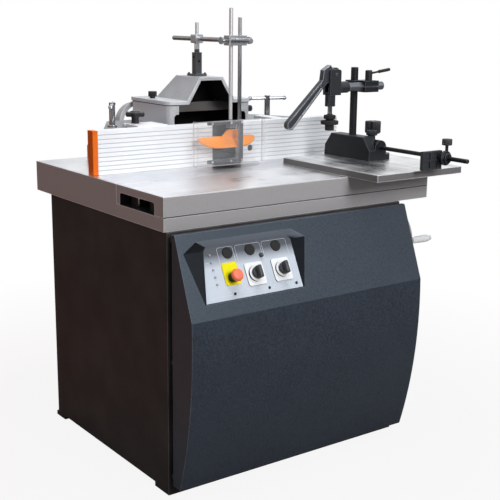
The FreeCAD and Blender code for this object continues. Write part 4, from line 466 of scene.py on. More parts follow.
# %% Steel and chrome
CHROME_DARK = (0.36, 0.37, 0.39)
CHROME_LIGHT = (0.54, 0.55, 0.57)
finishes["rod_chrome"] = make_finish(
    "rod_bright_chrome", CHROME_DARK, CHROME_LIGHT, (0.12, 0.22),
    grain=0.0008, depth=0.000004, stretch=(1, 1, 20), metallic=1.0,
)
finishes["fastener_steel"] = make_finish(
    "fastener_zinc", (0.38, 0.39, 0.41), (0.55, 0.55, 0.56), (0.28, 0.42),
    grain=0.0015, depth=0.00002, metallic=1.0,
)
finishes["ground_steel"] = make_finish(
    "ground_steel", (0.44, 0.44, 0.45), (0.6, 0.6, 0.61), (0.2, 0.34),
    grain=0.0008, depth=0.00001, stretch=(12, 12, 1), metallic=1.0,
)
finishes["ring_steel"] = make_finish(
    "ring_turned_steel", (0.46, 0.46, 0.47), (0.62, 0.62, 0.63), (0.26, 0.4),
    grain=0.0009, depth=0.00002, stretch=(8, 1, 1), metallic=1.0,
)
finishes["chain_steel"] = make_finish(
    "chain_oiled_steel", (0.06, 0.055, 0.05), (0.15, 0.14, 0.13), (0.24, 0.42),
    grain=0.002, depth=0.00004, metallic=0.9,
)
print("steels", len(finishes))

# %% Fence, wheel and the two-tone bars
FENCE_FACE = 0.067
groove_grey = inside((-0.5, FENCE_FACE + 0.0008, 0.905), (0.6, FENCE_FACE + 0.004, 1.035))
screw_hole = inside((0.13, FENCE_FACE + 0.0045, 0.93), (0.36, FENCE_FACE + 0.02, 1.02))
finishes["fence_alloy"] = make_finish(
    "fence_anodised", (0.83, 0.85, 0.88), (0.90, 0.915, 0.935), (0.4, 0.52),
    grain=0.0012, depth=0.00002, stretch=(40, 1, 1), metallic=0.06, round_over=0.0006,
    patches=[
        # The grooves are tinted a darker grey, and the screw holes take painted shade, near black.
        (groove_grey, (0.52, 0.53, 0.56), 0.0, 0.3),
        (screw_hole, (0.03, 0.03, 0.03), 0.0, 0.1),
    ],
)
finishes["wheel_iron"] = make_finish(
    "wheel_polished_iron", (0.30, 0.30, 0.31), (0.46, 0.46, 0.47), (0.16, 0.3),
    grain=0.0015, depth=0.00002, metallic=1.0,
    patches=[(beyond((1, 0, 0), 0.5944, 0.5945), (0.74, 0.75, 0.75), 0.0, 0.4)],
)
guard_post_finish = make_finish(
    "guard_post_grey", (0.07, 0.07, 0.075), (0.11, 0.11, 0.115), (0.3, 0.42),
    grain=0.0015, depth=0.00003, edge=(0.3, 0.3, 0.31), round_over=0.0014,
    patches=[(beyond((0, 0, 1), 1.278, 1.279), CHROME_LIGHT, 1.0, 0.5)],
)
clamp_arm_finish = make_finish(
    "clamp_head_black", (0.010, 0.012, 0.015), (0.020, 0.023, 0.029), (0.3, 0.42),
    grain=0.0012, depth=0.00002, edge=(0.20, 0.22, 0.25), round_over=0.0018, shine=0.4,
    patches=[(beyond((1, 0, 0), 0.3685, 0.3695), (0.20, 0.215, 0.24), 1.0, 0.5)],
)
lever_finish = make_finish(
    "lever_gunmetal", (0.035, 0.039, 0.047), (0.065, 0.071, 0.084), (0.26, 0.38),
    grain=0.0015, depth=0.00003, edge=(0.55, 0.58, 0.62), round_over=0.0026, metallic=0.3,
)
bracket_finish = make_finish(
    "bracket_grey_plate", (0.08, 0.085, 0.09), (0.13, 0.135, 0.14), (0.4, 0.5),
    grain=0.0015, depth=0.00002, edge=(0.4, 0.41, 0.43), shine=0.25,
    patches=[(beyond((0, 0, 1), 1.0565, 1.0575), CHROME_LIGHT, 1.0, 0.5)],
)
# The rails sit in the tunnel and are coloured near black as painted shade.
rail_shade_finish = make_finish(
    "rail_painted_shade", (0.010, 0.010, 0.011), (0.022, 0.022, 0.024), (0.3, 0.45),
    grain=0.001, depth=0.00001, stretch=(20, 1, 1), metallic=0.3, shine=0.3,
)
print("metals", len(finishes))

# %% [markdown]
# ## Plastics and rubber
# Knobs and switches are moulded with a faint orange-peel, which is a shallow bump of one or two
# millimetres. A switch plate is a white face on a black base, and the stop button's yellow plate
# carries a black collar.

# %% Moulded finishes
def moulded(name, dark, light, rough=(0.3, 0.44), shine=0.45, patches=()):
    """A moulded plastic: near-even colour and a shallow skin."""
    return make_finish(
        name, dark, light, rough, grain=0.0018, depth=0.00003, shine=shine, round_over=0.0008,
        patches=patches,
    )


BLACK = (0.012, 0.012, 0.013)
for slot_name, dark, light, rough, shine in (
    ("gland_plastic", BLACK, (0.024, 0.024, 0.025), (0.34, 0.46), 0.4),
    ("trim_plastic", (0.008, 0.008, 0.009), (0.014, 0.014, 0.015), (0.4, 0.55), 0.2),
    ("knob_plastic", (0.007, 0.008, 0.010), (0.015, 0.017, 0.021), (0.3, 0.44), 0.35),
    ("switch_black", (0.03, 0.033, 0.039), (0.05, 0.055, 0.064), (0.36, 0.5), 0.4),
    ("stop_red", (0.86, 0.17, 0.085), (0.93, 0.22, 0.12), (0.34, 0.48), 0.4),
    ("grip_plastic", (0.80, 0.81, 0.82), (0.88, 0.89, 0.90), (0.3, 0.44), 0.4),
    ("orange_plastic", (0.78, 0.14, 0.010), (0.88, 0.19, 0.018), (0.4, 0.55), 0.12),
    ("flag_plastic", (0.018, 0.020, 0.024), (0.032, 0.035, 0.041), (0.4, 0.55), 0.4),
    ("pad_rubber", BLACK, (0.024, 0.024, 0.025), (0.6, 0.8), 0.25),
    ("belt_rubber", (0.010, 0.010, 0.010), (0.020, 0.020, 0.020), (0.6, 0.8), 0.25),
):
    finish_name = slot_name.replace("_plastic", "") + "_moulding"
    finishes[slot_name] = moulded(finish_name, dark, light, rough, shine)
shoe_finish = moulded(
    "shoe_bright_orange", (0.88, 0.25, 0.008), (0.96, 0.30, 0.014), (0.4, 0.55), shine=0.12,
)
print("finishes so far", len(finishes))

# %% Small lamps and the larger dark one
ready_lamp = inside((-0.168, -0.6, 0.6), (-0.144, -0.3, 0.8))
finishes["lamp_plastic"] = moulded(
    "lamp_lenses", (0.34, 0.37, 0.41), (0.50, 0.53, 0.57), (0.1, 0.2),
    patches=[(ready_lamp, (0.05, 0.055, 0.062), 0.0, 0.5)],
)
print("lamps", finishes["lamp_plastic"].name)

# %% Faces of the switches
PANEL_UP = Vector((0.0, 0.47726, 0.87876))
PANEL_OUT = Vector((0.0, -0.87876, 0.47726))
plate_points = [v.co for v in nodes["control_plate"].data.vertices]
plate_face = max(point.dot(PANEL_OUT) for point in plate_points)
plate_foot = min(point.dot(PANEL_UP) for point in plate_points)
on_collar = beyond(PANEL_OUT, plate_face + 0.0032, plate_face + 0.0033)
finishes["switch_white"] = moulded(
    "switch_white_face", (0.80, 0.81, 0.82), (0.87, 0.88, 0.89),
    patches=[(faces(PANEL_OUT, 0.7, 0.6), BLACK, 0.0, 0.3)],
)
finishes["stop_yellow"] = moulded(
    "stop_yellow_plate", (0.80, 0.72, 0.004), (0.86, 0.78, 0.008), shine=0.15,
    patches=[(on_collar, BLACK, 0.0, 0.3)],
)
print("plate face", round(plate_face, 4), "foot", round(plate_foot, 4))

# %% [markdown]
# ## Ground iron with painted sides
# The table is one casting with two faces to the world: a top ground flat and bright, and sides in
# warm grey paint. Both are worked into one shader, chosen by which way the surface looks and how
# high it lies. The grinding wheel leaves long faint lines across the table. The rails' tunnel and
# the seam under the slide carry painted shade, near black, and every edge a painted highlight.

# %% The table's two-faced finish
TABLE_TOP_FROM = 0.898
TENON_TOP_FROM = 0.921
TOP_BLEND = 0.001
FACES_UP = (0.8, 0.9)
BRIGHT_EDGE = (0.92, 0.93, 0.95, 1.0)
CASTING_ROUND = 0.004
CASTING_SHINE = 0.4
PAINT_GRAIN = 0.0022
PAINT_ROUGH = 0.5
IRON_CLOUDS = 0.09
IRON_TONE = (0.75, 1.25)
IRON_ROUGH = (0.26, 0.4)
LINE_DETAIL = 5.0
SKIN_DEPTH = 0.00003


def two_faced(
    name, top_low, paint, paint_light, iron, iron_light, streak=0.002, lay=(60, 1, 1), shaded_boxes=(),
):
    """Painted sides, and ground iron on what faces up above a given height."""
    material, tree, place = start_finish(name)
    fine = noise(tree, place, PAINT_GRAIN)
    lines = noise(tree, place, streak, lay, LINE_DETAIL)
    slow = noise(tree, place, IRON_CLOUDS)
    faces_up = dot(tree, add_node(tree, "NewGeometry").outputs["True Normal"], (0, 0, 1))
    is_high = ramp(tree, dot(tree, place, (0, 0, 1)), top_low, top_low + TOP_BLEND)
    ground = math_node(tree, "MULTIPLY", ramp(tree, faces_up, *FACES_UP), is_high)
    tone = ramp(tree, math_node(tree, "ADD", lines, slow), *IRON_TONE)
    iron_colour = mix_colour(tree, tone, (*iron, 1.0), (*iron_light, 1.0))
    paint_colour = mix_colour(tree, fine, (*paint, 1.0), (*paint_light, 1.0))
    soft, mask = edge_wear_and_highlight(tree, CASTING_ROUND)
    # Every edge of the casting is painted a bright highlight.
    edged = mix_colour(tree, mask, paint_colour, BRIGHT_EDGE)
    for low, high in shaded_boxes:
        edged = mix_colour(tree, inside(low, high)(tree, place), edged, (*PAINTED_SHADE_BLACK, 1.0))
    colour = mix_colour(tree, ground, edged, iron_colour)
    rough = ramp(tree, ground, 0.0, 1.0, PAINT_ROUGH, ramp(tree, tone, 0.0, 1.0, *IRON_ROUGH))
    skin = ramp(tree, ground, 0.0, 1.0, fine, lines)
    bump = add_node(tree, "Bump", Height=skin, Distance=SKIN_DEPTH, Strength=1.0, Normal=soft)
    return close_finish(material, tree, colour, rough, bump.outputs[0], ground, CASTING_SHINE)


# Painted shade, near black, fills the rails' tunnel and the seam under the slide.
TUNNEL = (-0.4545, -0.3235, 0.8396), (0.5845, -0.1225, 0.8785)
SLIDE_SEAM = (-0.46, -0.3745, 0.8392), (0.59, -0.3715, 0.8422)
finishes["table_iron"] = two_faced(
    "table_ground_iron", TABLE_TOP_FROM, (0.30, 0.29, 0.295), (0.42, 0.41, 0.42),
    (0.70, 0.71, 0.74), (0.84, 0.85, 0.88), shaded_boxes=[TUNNEL, SLIDE_SEAM],
)
finishes["tenon_paint"] = two_faced(
    "tenon_milled_plate", TENON_TOP_FROM, (0.12, 0.115, 0.12), (0.18, 0.175, 0.18),
    (0.50, 0.51, 0.53), (0.86, 0.87, 0.89), streak=0.009, lay=(1, 60, 1),
)
print("two-faced", finishes["table_iron"].name)

# %% [markdown]
# ## Clear guard
# The visor is a bent sheet of polycarbonate. Light leaks out along its cut edges, so they are
# pale and dense, while the sheet itself only shows its reflections and what is behind it. A low
# alpha on the face and a high one on the edge says that without tracing rays through the sheet.

# %% Clear sheet
SMUDGE_SIZE = 0.03
SMUDGE_ROUGH = (0.04, 0.12)
SHEET_TINT, SHEET_ALPHA = (0.86, 0.89, 0.93, 1.0), (0.05, 0.10)
CUT_TINT, CUT_ALPHA = (0.56, 0.53, 0.55, 1.0), 0.85
CUT_WIDTH = 0.004
material, tree, place = start_finish("visor_polycarbonate")
smudge = noise(tree, place, SMUDGE_SIZE)
soft, mask = edge_wear_and_highlight(tree, CUT_WIDTH)
clear = add_node(
    tree, "BsdfPrincipled", Specular_IOR_Level=0.3,
    Base_Color=mix_colour(tree, mask, SHEET_TINT, CUT_TINT),
    Roughness=ramp(tree, smudge, 0.0, 1.0, *SMUDGE_ROUGH),
    Alpha=ramp(tree, mask, 0.0, 1.0, ramp(tree, smudge, 0.3, 0.7, *SHEET_ALPHA), CUT_ALPHA),
)
tree.links.new(clear.outputs[0], add_node(tree, "OutputMaterial").inputs[0])
finishes["visor_clear"] = material
print("clear sheet", material.name)

# %% [markdown]
# ## Control plate
# The plate behind the switches is printed pale blue-grey. A darker band along the top, behind
# the blank plugs, is painted shadow of the cover's brow.

# %% Printed plate
# Painted shadow of the cover's brow across the top of the plate.
BROW_SHADOW_RISE = (0.098, 0.138)
BROW_SHADOW_TINT = (0.085, 0.095, 0.115)
brow_shadow_band = beyond(PANEL_UP, plate_foot + BROW_SHADOW_RISE[0], plate_foot + BROW_SHADOW_RISE[1])
finishes["panel_print"] = make_finish(
    "panel_printed_plate", (0.50, 0.56, 0.64), (0.58, 0.63, 0.71), (0.36, 0.46),
    grain=0.001, depth=0.00001, round_over=0.0006, shine=0.3,
    patches=[(brow_shadow_band, BROW_SHADOW_TINT, 0.0, 0.3)],
)
print("plate print", finishes["panel_print"].name)

# %% [markdown]
# ## Dress the parts
# The imported record says which slot each part takes its finish from, so the parts are dressed by
# that list. A few parts have a finish of their own, because they are made of two metals, or have
# an inside or a side that carries painted shade or a painted highlight.

# %% Assign finishes to the parts
own_finish = {
    "hood_body": hood_shell_finish,
    "hood_lid": hood_shell_finish,
    "guard_post": guard_post_finish,
    "clamp_head": clamp_arm_finish,
    "clamp_lever": lever_finish,
    "fence_arms": arm_finish,
    "slide_rails": rail_shade_finish,
    "visor_bracket": bracket_finish,
    "pressure_shoe": shoe_finish,
}
for row in frame["record"]["subparts"]:
    part = nodes[row["node"]]
    part.data.materials.clear()
    part.data.materials.append(own_finish.get(row["node"]) or finishes[row["material_slot"]])

# %% [markdown]
# ## Tools for new pieces
# Turned parts are lathed from half a profile, and hand knobs are a wavy outline pulled up and
# rounded over. Each is drawn on its own axis at the origin and then carried to its place in the
# machine, which is how a part would be moved from the lathe to the bench. Profiles and outlines
# are in millimetres, and places are in metres.

# %% Carry, lathe and keep
SHARP_ANGLE = math.radians(38)


def carry(mesh, before, place, axis):
    """Move what was drawn since before from the origin to a place, with its Z along an axis."""
    turn = Vector(axis).to_track_quat("Z", "Y").to_matrix().to_4x4()
    fresh = [vert for vert in mesh.verts if vert not in before]
    bmesh.ops.transform(mesh, matrix=Matrix.Translation(place) @ turn, verts=fresh)


def half_profile(mesh, profile):
    """Draw a line through (radius, height) pairs, ready to be spun about Z."""
    points = [mesh.verts.new((radius / 1000, 0, height / 1000)) for radius, height in profile]
    return points + [mesh.edges.new(pair) for pair in zip(points, points[1:])]


def lathe(mesh, profile, place, axis=(0, 0, 1), steps=40):
    """Spin a half profile of (radius, height) pairs."""
    before = set(mesh.verts)
    bmesh.ops.spin(
        mesh, geom=half_profile(mesh, profile), cent=(0, 0, 0), axis=(0, 0, 1),
        angle=2 * math.pi, steps=steps, use_merge=True,
    )
    fresh = [vert for vert in mesh.verts if vert not in before]
    bmesh.ops.remove_doubles(mesh, verts=fresh, dist=1e-6)
    carry(mesh, before, place, axis)


def drawn_bar(radius, length, chamfer=1.5):
    """Half the profile of a round bar with a chamfer at its far end."""
    shoulder = length - chamfer
    return [(0, 0), (radius, 0), (radius, shoulder), (radius - chamfer, length), (0, length)]


def keep(mesh, name, body, slot_name, *stands_for, finish=None):
    """Turn a bmesh into a piece on its body, dressed as its slot or in a finish of its own."""
    bmesh.ops.recalc_face_normals(mesh, faces=mesh.faces)
    data = bpy.data.meshes.new(name)
    mesh.to_mesh(data)
    mesh.free()
    data.shade_smooth()
    data.set_sharp_from_angle(angle=SHARP_ANGLE)
    data.materials.append(finish or finishes[slot_name])
    piece = bpy.data.objects.new(name, data)
    bpy.context.scene.collection.objects.link(piece)
    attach(piece, body)
    if stands_for:
        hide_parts(*stands_for)
    print(name, len(data.polygons), "faces")


print("lathe ready")

# %% Block, pull and ease
def block(mesh, size, middle):
    """A block in an empty mesh."""
    bmesh.ops.create_cube(mesh, size=1.0)
    bmesh.ops.scale(mesh, verts=mesh.verts, vec=size)
    bmesh.ops.translate(mesh, verts=mesh.verts, vec=middle)


def pull(mesh, sheet, way):
    """Pull flat faces along a vector, keep the old ones behind, and give what was made."""
    made = bmesh.ops.extrude_face_region(mesh, geom=sheet, use_keep_orig=True)["geom"]
    moved = [item for item in made if isinstance(item, bmesh.types.BMVert)]
    bmesh.ops.translate(mesh, verts=moved, vec=way)
    return made


def ease(mesh, edges, offset, segments):
    """Round edges over."""
    bmesh.ops.bevel(
        mesh, geom=edges, offset=offset, segments=segments, profile=0.5, affect="EDGES",
        material=-1,
    )


def plank(mesh, outline, y_low, y_high, easing=0.0008):
    """Pull an outline of (x, z) pairs along Y and ease its edges."""
    before = set(mesh.edges)
    foot = mesh.faces.new([mesh.verts.new((x / 1000, y_low, z / 1000)) for x, z in outline])
    pull(mesh, [foot], (0, y_high - y_low, 0))
    ease(mesh, [edge for edge in mesh.edges if edge not in before], easing, 2)


print("block, pull and ease ready")

# %% A wavy knob head
def lobed(mesh, radius, height, lobes, dip, rounding, place, axis=(0, 0, 1), points_per_lobe=8):
    """A knob head in millimetres: its outline dips between the lobes."""
    before = set(mesh.verts)
    count = lobes * points_per_lobe
    rim = []
    for step in range(count):
        angle = 2 * math.pi * step / count
        reach = (radius - dip * (0.5 - 0.5 * math.cos(lobes * angle))) / 1000
        rim.append(mesh.verts.new((reach * math.cos(angle), reach * math.sin(angle), 0)))
    foot = mesh.faces.new(rim)
    made = pull(mesh, [foot], (0, 0, height / 1000))
    lid = next(item for item in made if isinstance(item, bmesh.types.BMFace))
    ease(mesh, list(lid.edges) + list(foot.edges), rounding / 1000, 3)
    carry(mesh, before, place, axis)


print("knob helper ready")

# %% [markdown]
# ## Hand knobs
# The fence's star knob is a flat moulding with six lobes on a round neck. The tenoning fence is
# held by a tall fluted knob, and its stop rod by a small knurled one. Knurling is a wavy outline
# with many small waves.

# %% Star knob and the tenoning fence's knobs
STAR_AT = (-0.223, 0.187)
STAR_NECK = [(0, 0), (6, 0), (6, 37.6), (11, 37.6), (13, 39.6), (12, 54), (14, 60), (0, 60)]
STAR_CAP = [(0, 0), (17, 0), (15.5, 3), (10, 4.6), (0, 5)]
STAR_NECK_Z, STAR_HEAD_Z, STAR_CAP_Z = 1.005, 1.0646, 1.0794
star = bmesh.new()
lathe(star, STAR_NECK, (*STAR_AT, STAR_NECK_Z))
lobed(star, radius=35, height=15, lobes=6, dip=10, rounding=5, place=(*STAR_AT, STAR_HEAD_Z))
lathe(star, STAR_CAP, (*STAR_AT, STAR_CAP_Z))
keep(star, "star_knob_moulding", "star_knob", "knob_plastic", "star_knob")

ROD_KNOB_AT = (0.462, -0.222)
ROD_KNOB_STEM = [(0, 0), (5, 0), (5, 26), (11, 26), (13, 30), (0, 30)]
TALL_KNOB_AT = (0.506, -0.180)
TALL_KNOB_STEM = [
    (0, 0), (8, 0), (8, 41.5), (16, 41.5), (16, 47.5), (14, 49.5), (9, 49.5), (9, 104), (0, 104),
]
ROD_KNOB_Z, TALL_KNOB_Z = 0.972, 0.9005
HEADS_FROM = 1.0025
rod_knobs = bmesh.new()
lathe(rod_knobs, ROD_KNOB_STEM, (*ROD_KNOB_AT, ROD_KNOB_Z))
lobed(
    rod_knobs, radius=19, height=17, lobes=22, dip=1.4, rounding=1.5,
    place=(*ROD_KNOB_AT, HEADS_FROM), points_per_lobe=4,
)
lathe(rod_knobs, TALL_KNOB_STEM, (*TALL_KNOB_AT, TALL_KNOB_Z))
lobed(
    rod_knobs, radius=28, height=43, lobes=7, dip=6, rounding=5, place=(*TALL_KNOB_AT, HEADS_FROM),
)
keep(rod_knobs, "tenon_knob_mouldings", "sliding_table", "knob_plastic", "rod_knobs")

# %% Lid knobs and the stop's hub
LID_KNOB_STEM = [(0, 0), (5, 0), (5, 12), (9, 12.2), (9, 17), (0, 17)]
LID_KNOBS_X = (-0.070, 0.200)
LID_KNOB_Y = 0.332
LID_STEM_Z, LID_HEAD_Z = 1.097, 1.114
SIDE_KNOB_AT = (0.235, 0.198, 1.070)
FINE_KNURL = dict(lobes=20, dip=1.2, rounding=1.6, points_per_lobe=4)
lid_knobs = bmesh.new()
for knob_x in LID_KNOBS_X:
    lathe(lid_knobs, LID_KNOB_STEM, (knob_x, LID_KNOB_Y, LID_STEM_Z))
    lobed(lid_knobs, radius=15, height=19, place=(knob_x, LID_KNOB_Y, LID_HEAD_Z), **FINE_KNURL)
lobed(
    lid_knobs, radius=11, height=24, lobes=18, dip=1.0, rounding=1.4,
    place=SIDE_KNOB_AT, axis=(1, 0, 0), points_per_lobe=4,
)
keep(lid_knobs, "lid_knob_mouldings", "fence_unit", "knob_plastic", "lid_knobs")

HUB_AT = (0.462, -0.556, 0.965)
HUB_TURNING = [
    (7.1, 0), (21.5, 0), (23, 1.5), (23, 10), (21.5, 11.5), (16, 11.5), (16, 18.5), (14.5, 20),
    (7.1, 20), (7.1, 0),
]
HUB_KNOB_AT = (0.462, -0.566)
HUB_KNOB_STEM = [(0, 0), (5, 0), (5, 19), (8, 21.5), (0, 21.5)]
HUB_STEM_Z, HUB_HEAD_Z = 0.985, 1.0062
hub = bmesh.new()
lathe(hub, HUB_TURNING, HUB_AT, (0, -1, 0))
lathe(hub, HUB_KNOB_STEM, (*HUB_KNOB_AT, HUB_STEM_Z))
lobed(hub, radius=16, height=19.5, place=(*HUB_KNOB_AT, HUB_HEAD_Z), **FINE_KNURL)
keep(hub, "stop_hub_turning", "stop_hub", "post_paint", "stop_hub")

# %% [markdown]
# ## Clamp pad and bars
# The clamp pushes down through a pad turned with two collars, its foot faced with rubber. The
# clamp's column and the stop's rod are round drawn bar, with a small chamfer at the end.

# %% Clamp pad, column and stop rod
PAD_AT = (0.297, -0.193, 1.026)
PAD_TURNING = [
    (0, 0), (13.5, 0), (15, 1.5), (15, 18), (17, 19.5), (28, 20), (29.5, 21.5), (29.5, 31),
    (28, 32.5), (16, 33), (13, 35), (13, 37), (19, 38), (20, 39.5), (20, 49), (18.5, 50.5),
    (11, 51.5), (9, 54), (0, 54),
]
pad = bmesh.new()
lathe(pad, PAD_TURNING, PAD_AT)
keep(pad, "clamp_pad_turning", "plunger", "pad_rubber", "clamp_pad")

COLUMN_FOOT = (0.437, -0.153, 1.0)
STOP_ROD_END = (0.462, -0.182, 0.965)
bars = bmesh.new()
lathe(bars, drawn_bar(12.5, 228), COLUMN_FOOT)
lathe(bars, drawn_bar(7, 474), STOP_ROD_END, (0, -1, 0))
keep(bars, "tenon_drawn_bars", "sliding_table", "post_paint", "tenon_bars")

# %% [markdown]
# ## Grip and controls
# The grip is a waisted handle that spins on its pin, and the stop button is a mushroom on a stem,
# domed with a lip underneath for the fingers. Both are turned. A switch has a bar to hold, eased
# along its edges, on a turned collar.

# %% Wheel grip and mushroom button
GRIP_AT = (0.5126, -0.383, 0.660)
GRIP_TURNING = [
    (5.1, 0), (10, 0), (11.6, 1.6), (11.2, 8), (11.6, 30), (12.5, 52), (12.3, 66), (11.2, 75),
    (8.4, 80.5), (5.1, 82), (5.1, 0),
]
grip = bmesh.new()
lathe(grip, GRIP_TURNING, GRIP_AT, (1, 0, 0))
keep(grip, "wheel_grip_turning", "wheel_grip", "grip_plastic", "wheel_grip")


def panel_spot(x, rise, lift):
    """A point on the control plate: X, the way up from its lower edge, the way off its face."""
    return Vector((x, 0, 0)) + PANEL_UP * (plate_foot + rise) + PANEL_OUT * (plate_face + lift)


PLATE_THICKNESS = 0.0015
CONTROL_RISE = 0.0630
STOP_X = -0.276
MUSHROOM = [
    (0, 1.5), (8, 1.5), (8, 25.8), (16.5, 25.9), (18.6, 28), (19, 31), (18.4, 34.6),
    (16.4, 37.6), (11.5, 39.3), (0, 39.8),
]
button = bmesh.new()
lathe(button, MUSHROOM, panel_spot(STOP_X, CONTROL_RISE, -PLATE_THICKNESS), PANEL_OUT)
keep(button, "stop_button_mushroom", "stop_button", "stop_red", "stop_button")

# %% Switch knobs
SWITCHES = {"left_switch": -0.194, "right_switch": -0.097}
HANDLE_SIZE = (0.013, 0.038, 0.020)
HANDLE_MIDDLE = (0, 0, 0.027)
HANDLE_EASING = 0.0042
KNOB_COLLAR = [
    (0, 1.6), (7, 1.6), (7, 11.2), (15.5, 11.2), (17, 12.5), (17, 17), (15.5, 19), (0, 19),
]
panel_turn = Matrix((Vector((1, 0, 0)), PANEL_UP, PANEL_OUT)).transposed().to_4x4()
for body, switch_x in SWITCHES.items():
    foot = panel_spot(switch_x, CONTROL_RISE, -PLATE_THICKNESS)
    knob = bmesh.new()
    block(knob, HANDLE_SIZE, HANDLE_MIDDLE)
    upper = [edge for edge in knob.edges if max(v.co.z for v in edge.verts) > HANDLE_MIDDLE[2]]
    ease(knob, upper, HANDLE_EASING, 3)
    bmesh.ops.transform(knob, matrix=Matrix.Translation(foot) @ panel_turn, verts=knob.verts)
    lathe(knob, KNOB_COLLAR, foot, PANEL_OUT)
    keep(knob, body + "_knob", body, "switch_black", body)

# %% [markdown]
# ## Print on the plate
# Thin pale lines frame the three groups of controls, a longer one runs above the fixing screws,
# and short ticks stand beside the row of lamps. The ink is a skin a tenth of a millimetre thick.

# %% Ink lines
INK = 0.0001
INK_ZERO_X = -0.210
LINE = 1.1
ARC_STEPS = 5
ink = bmesh.new()


def ink_patch(quads):
    """Lay flat quads, in millimetres across from INK_ZERO_X and up the plate, and thicken them."""
    spots = {}
    for x, y in (corner for quad in quads for corner in quad):
        if (x, y) not in spots:
            spots[x, y] = ink.verts.new(panel_spot(x / 1000 + INK_ZERO_X, y / 1000, INK))
    laid = [ink.faces.new([spots[corner] for corner in quad]) for quad in quads]
    pull(ink, laid, PANEL_OUT * INK)


def ink_frame(left, right_side, low, high, corner):
    """A rounded rectangle drawn with one line."""
    inner, outer = [], []
    corners = (
        (right_side - corner, high - corner, 0), (left + corner, high - corner, 90),
        (left + corner, low + corner, 180), (right_side - corner, low + corner, 270),
    )
    for x, y, start in corners:
        for step in range(ARC_STEPS + 1):
            angle = math.radians(start + 90 / ARC_STEPS * step)
            for loop, radius in ((inner, corner - LINE), (outer, corner)):
                loop.append((x + radius * math.cos(angle), y + radius * math.sin(angle)))
    pairs = [(i, (i + 1) % len(inner)) for i in range(len(inner))]
    ink_patch([(inner[i], outer[i], outer[j], inner[j]) for i, j in pairs])


INK_FRAMES = ((-93, -37), (-30, 61), (66, 157))
LONG_LINE = (-158, 165, 12.5)
TICKS, TICK_FROM, TICK_STEP = 4, 50, 21.75
for left, right_side in INK_FRAMES:
    ink_frame(left, right_side, low=21, high=156, corner=8)
ticks = [(-140, -131, TICK_FROM + TICK_STEP * step) for step in range(TICKS)]
for left, right_side, middle in [LONG_LINE] + ticks:
    low, high = middle - LINE / 2, middle + LINE / 2
    ink_patch([((left, low), (right_side, low), (right_side, high), (left, high))])
ink_finish = make_finish(
    "panel_white_ink", (0.66, 0.70, 0.75), (0.74, 0.78, 0.83), (0.4, 0.5),
    grain=0.0008, depth=0.000005, shine=0.3,
)
keep(ink, "panel_ink_lines", "frame", "panel_print", finish=ink_finish)

# %% [markdown]
# ## Small fixings
# Socket screws hold the guard post's foot, grub screws sit in its sides, and bright button heads
# fix the visor. They are small, but a machine without a screw in it looks like a toy.

# %% Screws
SCREW_RADIUS = 4
SCREW_STEPS = 16


def screw(mesh, place, axis, height):
    """A socket head, hollow in the middle; its height is in millimetres."""
    shares = [(0, 0.4), (0.5, 0.4), (0.55, 1), (0.85, 1), (1, 0.8), (1, 0), (0, 0)]
    profile = [(SCREW_RADIUS * across, height * up) for across, up in shares]
    lathe(mesh, profile, place, axis, SCREW_STEPS)


POST_AT = (0.060, 0.247)
POST_SIDE = 0.0135
POST_FOOT_TOP = 1.195
FOOT_SCREWS = (-0.020, 0.020)
LEFT_GRUB_Z, FRONT_GRUB_Z = 1.252, 1.238
SOCKET_HEIGHT, GRUB_HEIGHT = 4, 3
post_screws = bmesh.new()
for side_x in FOOT_SCREWS:
    for side_y in FOOT_SCREWS:
        seat = (POST_AT[0] + side_x, POST_AT[1] + side_y, POST_FOOT_TOP)
        screw(post_screws, seat, (0, 0, 1), SOCKET_HEIGHT)
screw(post_screws, (POST_AT[0] - POST_SIDE, POST_AT[1], LEFT_GRUB_Z), (-1, 0, 0), GRUB_HEIGHT)
screw(post_screws, (POST_AT[0], POST_AT[1] - POST_SIDE, FRONT_GRUB_Z), (0, -1, 0), GRUB_HEIGHT)
keep(post_screws, "guard_post_screws", "fence_unit", "knob_plastic")

VISOR_FACE = -0.007
VISOR_SCREWS_X = (-0.045, 0.030, 0.073)
VISOR_SCREWS_Z = (0.922, 1.0475)
BUTTON_HEIGHT = 2.5
visor_screws = bmesh.new()
for screw_x in VISOR_SCREWS_X:
    for screw_z in VISOR_SCREWS_Z:
        screw(visor_screws, (screw_x, VISOR_FACE, screw_z), (0, -1, 0), BUTTON_HEIGHT)
keep(visor_screws, "visor_button_screws", "visor", "fastener_steel")

# %% [markdown]
# ## Pressure shoe and guard bracket
# The shoe is a scoop: its front edge curves up like a ski, and its face leans back to a level
# rim. It is a row of stations along X, each with a front point, a back point and the same two set
# in by the thickness. Stations lie closer together near the ends, where the outline turns. The
# bracket is one outline like a C, pulled to its thickness and eased along its edges.

